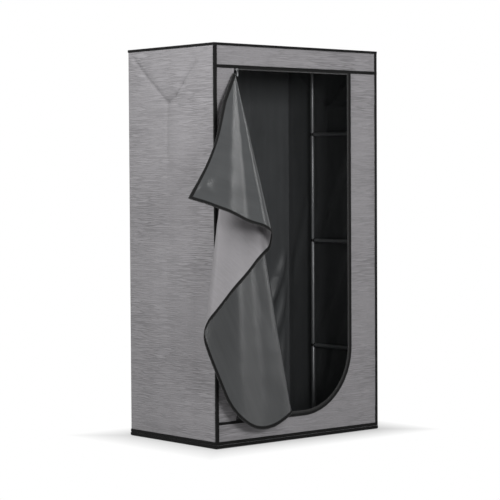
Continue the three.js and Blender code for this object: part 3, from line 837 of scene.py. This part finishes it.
def beads(name, body, material, runs):
    """One piece from several rows of prisms."""
    points, faces = [], []
    for places, shapes in runs:
        start = sum(len(p) for p in points)
        points.append(places)
        faces += [tuple(start + j for j in face) for face in shapes]
    piece = mesh_piece(np.concatenate(points), faces)
    face_outwards(piece)
    return finish_piece(piece, name, body, material, 70)


def binding_edge(offset):
    """A line of the binding round the opening, from under the header band to the left end of the sill."""
    return opening_edge(offset, False, -HALF_WIDTH)


def level_edge(height):
    return np.linspace((-HALF_WIDTH, height), (HALF_WIDTH, height), 60)


binding_lift = SEAM + BINDING_THICK / 2
stitch_lift = SEAM + BINDING_THICK
inner_binding, outer_binding = TAPE_WIDTH + SEAM, TAPE_WIDTH + BINDING

body_tape = tape(
    "opening_zip_tape", "wardrobe", GREY_TAPE, "zip_tape",
    opening_edge(0), opening_edge(TAPE_WIDTH + TAPE_TUCK), TAPE_THICK, on_front, TAPE_LIFT,
)
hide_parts("zip_tape")
body_teeth = beads("opening_zip_teeth", "wardrobe", COIL, [
    teeth(opening_edge(TOOTH_INSET), TOOTH_SIZE, on_front, TAPE_FACE),
])

door_binding = tape(
    "opening_binding", "wardrobe", BLACK_TAPE, "binding",
    binding_edge(inner_binding), binding_edge(outer_binding), BINDING_THICK, on_front, binding_lift,
)
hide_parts("edge_binding")

band_edges = [
    np.linspace((-HALF_WIDTH - 0.001, z), (HALF_WIDTH + 0.001, z), 120) for z in (BAND_LOW, BAND_HIGH)
]
header_band = tape(
    "header_binding", "wardrobe", BLACK_TAPE, "binding", *band_edges, BINDING_THICK, on_front,
    binding_lift + BAND_LIFT,
)


def corner_binding(side):
    """Tape folded round a front corner of the cover: wide on the front, narrow on the side."""
    reach, back, corner = BINDING, BINDING_SIDE, BINDING_THICK + SEAM
    heights = np.linspace(hem_high.z - 0.002, TOP - 0.001, 150)
    turn = np.linspace(0, math.pi / 2, 5)
    outer = [(-corner * math.sin(a), corner * math.cos(a)) for a in turn]
    inner = [(-SEAM, -back), (-SEAM, SEAM), (reach, SEAM)]
    ring = [(reach, corner), *outer, (-corner, -back), *inner]
    dice = np.random.default_rng(31)
    wobble = 0.0003 * np.convolve(dice.normal(size=len(heights) + 8), np.ones(9) / 3, "valid")
    rings = []
    for height, shift in zip(heights, wobble):
        profile = [(inwards + (shift if inwards > 0.004 else 0), out) for inwards, out in ring]
        rings.append([(side * (HALF_WIDTH - inwards), FRONT - out, height) for inwards, out in profile])
    return sweep(rings)


corner_bindings = [
    finish_piece(corner_binding(side), f"{name}_front_binding", "wardrobe", BLACK_TAPE, 50)
    for name, side in (("left", -1), ("right", 1))
]


def round_cover(name, profile):
    """Tape round the cover, mitred at its corners; the profile is (distance out, height)."""
    corners = [(-1, -1), (1, -1), (1, 1), (-1, 1)]
    rings = []
    for index, (start_x, start_y) in enumerate(corners):
        end_x, end_y = corners[(index + 1) % 4]
        for step in np.arange(SIDE_STATIONS) / SIDE_STATIONS:
            x, y = start_x + (end_x - start_x) * step, start_y + (end_y - start_y) * step
            out_x = x if abs(x) == 1 else 0
            out_y = y if abs(y) == 1 else 0
            rings.append([(x * HALF_WIDTH + out_x * out, y * HALF_DEPTH + out_y * out, height)
                          for out, height in profile])
    return finish_piece(sweep(rings, closed=True), name, "wardrobe", BLACK_TAPE, 50)


roof_binding = round_cover("roof_binding", [
    (SEAM, TOP - ROOF_BINDING), (0.0016, TOP - ROOF_BINDING), (0.0021, TOP - 0.004),
    (0.0019, TOP + 0.0006), (0.0008, TOP + 0.0016), (-0.004, TOP + 0.0017), (-0.0075, TOP + 0.0009),
    (-0.0075, TOP + 0.0001), (SEAM, TOP + 0.0001),
])
hem_middle = (hem_low.z + hem_high.z) / 2
hem_pieces = [
    round_cover("base_hem_lower", [
        (SEAM, hem_low.z), (0.0012, hem_low.z), (0.0022, hem_low.z + 0.003), (0.0022, hem_middle - 0.003),
        (0.0013, hem_middle - 0.0006), (SEAM, hem_middle - 0.0006),
    ]),
    round_cover("base_hem_upper", [
        (SEAM, hem_middle + 0.0004), (0.0010, hem_middle + 0.0004), (0.0015, hem_middle + 0.002),
        (0.0015, hem_high.z - 0.002), (0.0008, hem_high.z), (SEAM, hem_high.z),
    ]),
]
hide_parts("base_hem")

post_stitch_x = HALF_WIDTH - BINDING + 0.002
front_stitches = beads("cover_stitches", "wardrobe", THREAD, [
    stitches(binding_edge(inner_binding + STITCH_INSET), on_front, stitch_lift),
    stitches(binding_edge(outer_binding - STITCH_INSET), on_front, stitch_lift),
    stitches(opening_edge(TAPE_STITCH), on_front, TAPE_FACE),
    stitches(level_edge(BAND_LOW + STITCH_INSET), on_front, stitch_lift + BAND_LIFT),
    stitches(level_edge(BAND_HIGH - STITCH_INSET), on_front, stitch_lift + BAND_LIFT),
    *[
        stitches(np.linspace((x, hem_high.z), (x, TOP - 0.01), 60), on_front, stitch_lift)
        for x in (-post_stitch_x, post_stitch_x)
    ],
])


# Door flap

def fold_run():
    """Directions of the cloth's straight lines from the cone's point, their angles in it, and its normals."""
    marks = np.array([(sideways, -forward, -1) for sideways, forward in FOLD_RATIOS], float)
    ends = [2 * marks[0] - marks[1], 2 * marks[-1] - marks[-2]]
    marks = np.vstack([ends[0], marks, ends[1]])
    path = []
    for before, start, end, after in zip(marks, marks[1:], marks[2:], marks[3:]):
        pairs = ((before, start), (start, end), (end, after))
        lead, span, trail = [np.linalg.norm(b - a) ** 0.5 for a, b in pairs]
        leave = ((start - before) / lead - (end - before) / (lead + span) + (end - start) / span) * span
        arrive = ((end - start) / span - (after - start) / (span + trail) + (after - end) / trail) * span
        for w in np.arange(FOLD_STEPS) / FOLD_STEPS:
            path.append((2 * start - 2 * end + leave + arrive) * w ** 3
                        + (3 * end - 3 * start - 2 * leave - arrive) * w ** 2 + leave * w + start)
    path = unit(np.array(path + [marks[-2]]))
    turns = np.arccos(np.clip((path[1:] * path[:-1]).sum(1), -1, 1))
    angles = np.concatenate([[0], np.cumsum(turns)])
    tangents = np.gradient(path, angles, axis=0)
    return path, angles * (math.pi / 2 / angles[-1]), np.cross(path, tangents)


fold_lines, fold_angles, fold_normals = fold_run()
flap_point = np.array([DOOR_LEFT, FRONT - FLAP_STAND, DOOR_TOP])
pleat_waves = wave_set(41, 6, 26, 1.5)
drape_waves = wave_set(42, 8, 9, 4)
crumple_waves = wave_set(43, 12, 34, 26)

# Pleats that run out from the point: the angle of each in degrees, its width, and its height for each metre
PLEATS = [
    (5, 3, 0.010), (13, 4, -0.008), (18.5, 3, 0.016), (26, 3, -0.006), (43, 3, 0.010), (62.5, 3, -0.010),
    (68, 4, 0.013), (94, 12, 0.045),
]


def flap_wrinkle(angle, reach, across, down):
    """How far the cloth leaves the plain cone: pleats from the point, swells, crumples and a curled tip."""
    free = smooth_step(across / 0.07) * smooth_step(reach / 0.15)
    degrees = np.degrees(angle)
    bends = sum(height * np.exp(-((degrees - place) / width) ** 2) for place, width, height in PLEATS)
    pleats = np.minimum(reach, 0.6) * (bends + 0.002 * ripple(angle, reach, pleat_waves))
    drape = 0.0022 * np.minimum(reach, 0.8) * ripple(across, down, drape_waves)
    crumple = 0.0006 * smooth_step(reach / 0.3) * ripple(across, down, crumple_waves)
    curl = np.exp(-((across - CURL_ACROSS) / 0.045) ** 2 - ((down - CURL_DOWN) / 0.026) ** 2)
    return free * (pleats + drape + crumple - CURL_DEPTH * curl)


def edge_sag(across, down):
    """How far the door's top edge sinks towards the cloth between its two ends."""
    share = np.clip((across - SAG_START) / (DOOR_WIDTH - SAG_START), 0, 1)
    return SAG_DEPTH * np.sin(math.pi * share) ** 1.2 * np.exp(-down / 0.07)


def on_flap(flat, lift):
    """A place (across, down) of the flat door, on the hanging cloth, lifted towards its outer face."""
    across, down = np.asarray(flat).T
    reach = np.hypot(across, down)
    angle = np.arctan2(across, down) - edge_sag(across, down) / np.maximum(reach, 0.01)
    ray, normal = [
        unit(np.stack([np.interp(angle, fold_angles, rows[:, k]) for k in range(3)], 1))
        for rows in (fold_lines, fold_normals)
    ]
    lift = lift + flap_wrinkle(angle, reach, across, down)
    return flap_point + reach[:, None] * ray + lift[:, None] * normal


def flap_reach(angle, inset):
    """Distance from the point to the door's edge, inset inside it."""
    sin, cos = np.maximum(np.sin(angle), 1e-9), np.maximum(np.cos(angle), 1e-9)
    straight = np.minimum((DOOR_WIDTH - inset) / sin, (DOOR_HEIGHT - inset) / cos)
    middle_run = sin * FLAP_CORNER_X + cos * FLAP_CORNER_Z
    root = middle_run ** 2 - FLAP_CORNER_X ** 2 - FLAP_CORNER_Z ** 2 + (CORNER_R - inset) ** 2
    curved = middle_run + np.sqrt(np.maximum(root, 0))
    in_corner = (straight * sin > FLAP_CORNER_X) & (straight * cos > FLAP_CORNER_Z)
    return np.where(in_corner, curved, straight)


def flap_cloth():
    inset, rows = 0.004, 100
    along_top = np.arccos(inset / np.linspace(0.06, 0.5, 45))
    angles = np.sort(np.concatenate([fold_angles[fold_angles < along_top[-1]], along_top]))
    near = np.maximum(FLAP_START, inset / np.cos(angles))
    far = flap_reach(angles, inset)
    reach = near[:, None] + (far - near)[:, None] * np.linspace(0, 1, rows)
    flat = np.stack([reach * np.sin(angles)[:, None], reach * np.cos(angles)[:, None]], -1).reshape(-1, 2)
    faces = grid_faces(len(angles), rows)
    piece = mesh_piece(on_flap(flat, 0), faces, flat[np.ravel(faces)] * (1, -1))
    thicken(piece, FLAP_THICK, DOOR_OUTER_PAINTED_DARKER, DOOR_INNER_PAINTED_DARKER)
    finish_piece(piece, "door_flap_cloth", "door", None, 70)
    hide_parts("door_flap")
    return piece


def flap_edge(inset):
    """The flap's free edges at one distance inside the zip line: top, free side, round corner, bottom."""
    right, bottom, radius = DOOR_WIDTH - inset, DOOR_HEIGHT - inset, CORNER_R - inset
    turn = np.linspace(0, math.pi / 2, 60)
    return np.concatenate([
        np.linspace((FLAP_START, inset), (right, inset), 110),
        np.linspace((right, inset), (right, FLAP_CORNER_Z), 220)[1:],
        np.stack([FLAP_CORNER_X + radius * np.cos(turn), FLAP_CORNER_Z + radius * np.sin(turn)], 1)[1:],
        np.linspace((FLAP_CORNER_X, bottom), (0.002, bottom), 120)[1:],
    ])


flap = flap_cloth()
flap_tape = tape(
    "door_zip_tape", "door", BLACK_TAPE, "zip_tape",
    *map(flap_edge, FLAP_TAPE_EDGES), FLAP_TAPE_THICK, on_flap, 0,
)
flap_binding = tape(
    "door_binding", "door", BLACK_TAPE, "binding",
    *map(flap_edge, FLAP_BINDING_EDGES), FLAP_BINDING_THICK, on_flap, 0,
)
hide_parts("door_trim")
flap_teeth = beads("door_zip_teeth", "door", COIL, [
    teeth(flap_edge(DOOR_TOOTH_INSET), DOOR_TOOTH_SIZE, on_flap, 0.0),
])
flap_stitches = beads("door_stitches", "door", THREAD, [
    stitches(flap_edge(inset), on_flap, side * FLAP_BINDING_THICK / 2)
    for inset in FLAP_STITCH_INSETS for side in (1, -1)
])


# Zip slider and its pull

PLATE_THICK = 0.0019
STAPLE_WIRE, STAPLE_INSET = 0.0008, 0.0009
PULL_RIM = 0.0004
PULL_FRAME = 0.0017
WINDOW_DOWN, WINDOW_HALF = 0.0049, 0.0033
slider_x, slider_z = middle(slider_low, slider_high)[::2]
slider_length, slider_height = slider_high.x - slider_low.x, slider_high.z - slider_low.z


def slider_plate(y_face, y_back):
    """A plate of the slider: a squared oval, a little taller at its right end, with softened faces."""
    turn = np.linspace(0, 2 * math.pi, 33)[:-1]
    cos, sin = np.cos(turn), np.sin(turn)
    rim = 0.2 * (y_back - y_face)
    rings = []
    for y, share in ((y_face, 0.86), (y_face + rim, 1.0), (y_back - rim, 1.0), (y_back, 0.88)):
        width = slider_length * share
        x = np.sign(cos) * np.abs(cos) ** 0.55 * width / 2
        z = np.sign(sin) * np.abs(sin) ** 0.55 * (slider_height * share) / 2 * (1 + 0.25 * x / width)
        rings.append(np.stack([slider_x + x, np.full(len(turn), y), slider_z + z], 1))
    return sweep(rings)


def slider_staple(front_face):
    """The wire over the front plate that the pull hangs from."""
    half = slider_height / 2 - STAPLE_INSET
    out = abs(slider_low.y - front_face) - STAPLE_WIRE
    rings = []
    for angle in np.linspace(0, math.pi, 17):
        depth, rise = math.sin(angle), math.cos(angle)
        centre = np.array([slider_x, front_face - out * depth ** 0.6, slider_z + half * rise])
        normal = np.array([0, -depth, rise])
        rings.append([
            centre + STAPLE_WIRE * (1.7 * math.cos(a) * np.array([1, 0, 0]) + math.sin(a) * normal)
            for a in np.linspace(0, 2 * math.pi, 13)[:-1]
        ])
    return sweep(rings)


def slider_piece():
    """Two rounded plates joined by a wedge below the tape, with a staple bent over the front one."""
    front_face = FRONT - PLATE_THICK
    wedge_high = DOOR_TOP - SEAM
    wedge_centre = (slider_x, FRONT + SHEET_MIDDLE - 0.0001, (slider_low.z + wedge_high) / 2)
    wedge_size = (slider_length * 0.8, SKIN + 0.0016, wedge_high - slider_low.z - 0.0006)
    return join([
        slider_plate(front_face, FRONT - SEAM),
        slider_plate(FRONT + SKIN + SEAM, FRONT + SKIN + PLATE_THICK),
        rounded_block(wedge_centre, wedge_size, 0.0004),
        slider_staple(front_face),
    ])


def pull_piece():
    """A flat tab with a window for the staple, a waist and a round end."""
    x_middle, y_middle, z_middle = middle(pull_low, pull_high)
    half, length = (pull_high.x - pull_low.x) / 2, pull_high.z - pull_low.z
    thick = (pull_high.y - pull_low.y) / 2
    rim = PULL_RIM
    rings = []
    for angle in np.linspace(0, 2 * math.pi, 65)[:-1]:
        wide, tall = squared(math.cos(angle), 0.35), squared(math.sin(angle), 0.5)
        z = z_middle + tall * length / 2
        down = (pull_high.z - z) / length
        x = wide * half * (1 - 0.22 * math.exp(-((down - 0.42) / 0.16) ** 2))
        out = np.array([x, z])
        into = np.array([wide * (half - PULL_FRAME), pull_high.z - WINDOW_DOWN + tall * WINDOW_HALF])
        step = (into - out) / np.linalg.norm(into - out)
        profile = [
            (out, thick - rim), (out + step * rim, thick), (into - step * rim, thick), (into, thick - rim),
            (into, rim - thick), (into - step * rim, -thick), (out + step * rim, -thick), (out, rim - thick),
        ]
        rings.append([(x_middle + place[0], y_middle + depth, place[1]) for place, depth in profile])
    return sweep(rings, closed=True)


slider = finish_piece(slider_piece(), "zip_slider_body", "slider", METAL, 40)
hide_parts("zip_slider")
pull = finish_piece(pull_piece(), "zip_pull_tab", "pull", METAL, 40)
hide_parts("zip_pull")


# Frame

rail_low, rail_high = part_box("hanging_rail")
TUBE_WALL = 0.0008
TUBE_R = (rail_high.z - rail_low.z) / 2
TUBE_SIDES = 36
COLLAR_R = 0.009
SLEEVE_R = 0.0103
SLEEVE_WALL = 0.0019
COLLAR_REACH = 0.015
FLANGE = 0.002
END_GAP = 0.0003
RAIL_DROP = 0.042
LUG_START = 0.0085
LUG_WIDTH = 0.012
BOSS_START = 0.009
POST_BOSS = 0.0052
NECK_R = 0.0046
COLLAR_START = 0.0095
TURNS = {"x": (0, math.pi / 2, 0), "y": (math.pi / 2, 0, 0), "z": (0, 0, 0)}


def rod(low, high, radius, axis, centre, bevel=0.0):
    """A round bar along an axis, between two distances from a centre."""
    direction = Vector([float(axis == name) for name in "xyz"])
    bpy.ops.mesh.primitive_cylinder_add(
        vertices=TUBE_SIDES, radius=radius, depth=high - low,
        location=Vector(centre) + direction * (low + high) / 2, rotation=TURNS[axis],
    )
    bar = bpy.context.object
    if bevel:
        apply_modifier(bar, "BEVEL", width=bevel, segments=3, limit_method="ANGLE")
    return bar


def open_tube(radius, wall, length, centre, axis, bevel):
    """A tube with open ends and rounded rims."""
    bpy.ops.mesh.primitive_cylinder_add(
        vertices=TUBE_SIDES, radius=radius, depth=length, end_fill_type="NOTHING",
        location=centre, rotation=TURNS[axis],
    )
    tube = bpy.context.object
    apply_modifier(tube, "SOLIDIFY", thickness=wall, offset=-1)
    apply_modifier(tube, "BEVEL", width=bevel, segments=2, limit_method="ANGLE")
    return tube


def frame_tube(node):
    low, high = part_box(node)
    size = high - low
    axis = "xyz"[max(range(3), key=lambda k: size[k])]
    tube = open_tube(TUBE_R, TUBE_WALL, max(size), (low + high) / 2, axis, 0.0002)
    finish_piece(tube, node + "_steel", "wardrobe", POWDER, 40)
    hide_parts(node)


def moulded_arm(axis, sign, centre):
    """A collar with a stop flange that a tube's end butts against."""
    reach = sorted((0.0, sign * COLLAR_REACH))
    flange = sorted((sign * (COLLAR_REACH - FLANGE), sign * COLLAR_REACH))
    return [
        rod(*reach, COLLAR_R - 0.0006, axis, centre, bevel=0.0004),
        rod(*flange, COLLAR_R, axis, centre, bevel=0.0004),
    ]


def moulding(node, pieces):
    piece = finish_piece(join(pieces), node + "_moulding", "wardrobe", PLASTIC, 40)
    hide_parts(node)


def corner_piece(node):
    """A three-way corner: a ball with a collar for each tube."""
    low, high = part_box(node)
    centre, signs = [], []
    for k in range(3):
        positive = (low[k] + high[k]) / 2 > (TOP / 2 if k == 2 else 0)
        centre.append(high[k] - SLEEVE_R if positive else low[k] + SLEEVE_R)
        signs.append(-1 if positive else 1)
    bpy.ops.mesh.primitive_uv_sphere_add(segments=32, ring_count=16, radius=SLEEVE_R, location=centre)
    pieces = [bpy.context.object]
    for axis, sign in zip("xyz", signs):
        pieces += moulded_arm(axis, sign, centre)
    moulding(node, pieces)


def ring_sleeve(node, ring):
    """The sleeve of a connector that sits on a ring's side tube, and its centre."""
    low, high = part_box(node)
    tube_x, tube_z = middle(*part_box(ring + "_left_tube"))[::2]
    centre = (math.copysign(tube_x, low.x), (low.y + high.y) / 2, tube_z)
    sleeve = open_tube(SLEEVE_R, SLEEVE_WALL, high.y - low.y, centre, "y", 0.0004)
    return sleeve, centre


def post_sleeve(node):
    """A sleeve round a ring's side tube, with a low boss that the rear post butts against."""
    sleeve, centre = ring_sleeve(node, node.split("_")[0])
    sign = 1 if centre[2] < TOP / 2 else -1
    boss = sorted((sign * BOSS_START, sign * SLEEVE_R))
    moulding(node, [sleeve, rod(*boss, COLLAR_R, "z", centre, bevel=0.0004)])


def rail_hanger(node):
    """A sleeve round the top ring's side tube, with a lug under it that holds the hanging rail."""
    sleeve, (x, y, z) = ring_sleeve(node, "top")
    hub = (x, y, z - RAIL_DROP)
    lug_size = (LUG_WIDTH, 2 * COLLAR_R, RAIL_DROP - LUG_START)
    lug = rounded_block((x, y, z - (RAIL_DROP + LUG_START) / 2), lug_size, 0.0012)
    boss = rod(-LUG_WIDTH / 2, LUG_WIDTH / 2, COLLAR_R, "x", hub, bevel=0.0005)
    moulding(node, [sleeve, lug, boss, *moulded_arm("x", -1 if x > 0 else 1, hub)])


def rung_piece(node):
    """A side rung: its steel tube, and at each end a moulded tee that the post's lengths plug into."""
    low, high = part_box(node)
    x_middle, z_middle = middle(low, high)[::2]
    front_y, rear_y = low.y + COLLAR_R, high.y - COLLAR_R
    tees = []
    for y, sign in ((front_y, 1), (rear_y, -1)):
        centre = (x_middle, y, z_middle)
        neck = sorted((0.0, sign * COLLAR_REACH))
        collar = sorted((sign * COLLAR_START, sign * COLLAR_REACH))
        tees.append(rod(-POST_BOSS, POST_BOSS, COLLAR_R, "z", centre, bevel=0.0006))
        tees.append(rod(*neck, NECK_R, "y", centre))
        tees.append(rod(*collar, COLLAR_R, "y", centre, bevel=0.0006))
    ends = join(tees)
    ends.data.materials.append(PLASTIC)
    stop = COLLAR_REACH + END_GAP
    tube = rod(front_y + stop, rear_y - stop, TUBE_R, "y", (x_middle, 0, z_middle), bevel=0.0003)
    tube.data.materials.append(POWDER)
    piece = finish_piece(join([tube, ends]), node + "_assembly", "wardrobe", None, 40)
    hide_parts(node)


for node in sorted(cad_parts):
    if node.endswith("_corner"):
        corner_piece(node)
    elif node.endswith("_post_sleeve"):
        post_sleeve(node)
    elif node.endswith("_rail_hanger"):
        rail_hanger(node)
    elif node.endswith("_rung"):
        rung_piece(node)
    elif node.endswith("_tube") or "_post_" in node or node == "hanging_rail":
        frame_tube(node)


# Floor, light and camera

FLOOR_GREY = 0.5
FLOOR_WHITE = 0.45
WHITE_BEYOND = 0.2
AMBIENT = 0.18
WHITE = (1, 1, 1, 1)


def studio_floor():
    """Pale floor that the camera sees as white, with the object's soft shadow on it."""
    bpy.ops.mesh.primitive_plane_add(size=40, location=(0, 0, -0.0006))
    floor = bpy.context.object
    floor.name = "floor"
    look = Look("pale_floor", Roughness=1.0, Specular_IOR_Level=0.0, Base_Color=grey(FLOOR_GREY))
    x, y = look.parts(look.object_place())[:2]
    beside, before = x.size() - HALF_WIDTH, y.size() - HALF_DEPTH
    far = look.between(x.maths("MAXIMUM", beside, before), 0, WHITE_BEYOND)
    white = look.add("ShaderNodeEmission", sockets={"Color": WHITE, "Strength": 1.0})
    share = look.seen_white() * (FLOOR_WHITE + far * (1 - FLOOR_WHITE))
    lit = Wire(look, look.shader.outputs[0])
    mixed = look.add("ShaderNodeMixShader", sockets={0: share, 1: lit, 2: white})
    look.feed(look.tree.nodes["Material Output"].inputs["Surface"], mixed)
    floor.data.materials.append(look.material)


def studio_world():
    """White where the camera, gloss or glass sees it, and a plain grey light for everything else."""
    world = bpy.data.worlds.new("studio")
    bpy.context.scene.world = world
    world.use_nodes = True
    sky = Nodes(world.node_tree)
    background = sky.tree.nodes["Background"]
    sky.feed(background.inputs["Color"], WHITE)
    sky.feed(background.inputs["Strength"], AMBIENT + sky.seen_white() * (1 - AMBIENT))


def soft_light(name, place, target, size, power):
    bpy.ops.object.light_add(type="AREA", location=place)
    lamp = bpy.context.object
    lamp.name = name
    lamp.data.shape = "RECTANGLE"
    lamp.data.size, lamp.data.size_y = size
    lamp.data.energy = power
    lamp.rotation_euler = (Vector(target) - Vector(place)).to_track_quat("-Z", "Y").to_euler()


def photo_camera(place, yaw, pitch, roll, lens):
    """The camera that the six corners of the cover give: its place, its angles in degrees and its lens."""
    yaw, pitch, roll = math.radians(yaw), math.radians(pitch), math.radians(roll)
    forward = Vector((math.sin(yaw) * math.cos(pitch), math.cos(yaw) * math.cos(pitch), -math.sin(pitch)))
    level = Vector((math.cos(yaw), -math.sin(yaw), 0))
    upright = level.cross(forward)
    right = level * math.cos(roll) + upright * math.sin(roll)
    up = upright * math.cos(roll) - level * math.sin(roll)
    bpy.ops.object.camera_add()
    camera = bpy.context.object
    camera.name = "photo_camera"
    turn = Matrix((right, up, -forward)).transposed().to_4x4()
    camera.matrix_world = Matrix.Translation(place) @ turn
    camera.data.sensor_fit = "HORIZONTAL"
    camera.data.sensor_width = 36
    camera.data.lens = lens
    bpy.context.scene.camera = camera


studio_floor()
studio_world()
soft_light("main_softbox", (-1.7, -4.9, 1.9), (0, 0, 1.0), (1.2, 1.2), 128)
soft_light("side_softbox", (-2.7, -0.4, 2.9), (-0.4, 0, 1.0), (1.2, 1.2), 84)
soft_light("high_softbox", (0.85, -2.6, 3.8), (-0.3, -0.3, 1.1), (0.35, 0.9), 30)
soft_light("low_softbox", (2.7, -2.3, 0.8), (-0.2, -0.4, 0.6), (0.25, 0.8), 9)
soft_light("back_softbox", (2.9, 3.6, 2.3), (0.1, 0.1, 0.9), (1.4, 1.4), 70)
photo_camera((-5.01724, -5.79151, 1.06070), yaw=40.756, pitch=2.189, roll=-0.3257, lens=131.39)
bpy.context.scene.view_settings.view_transform = "Standard"
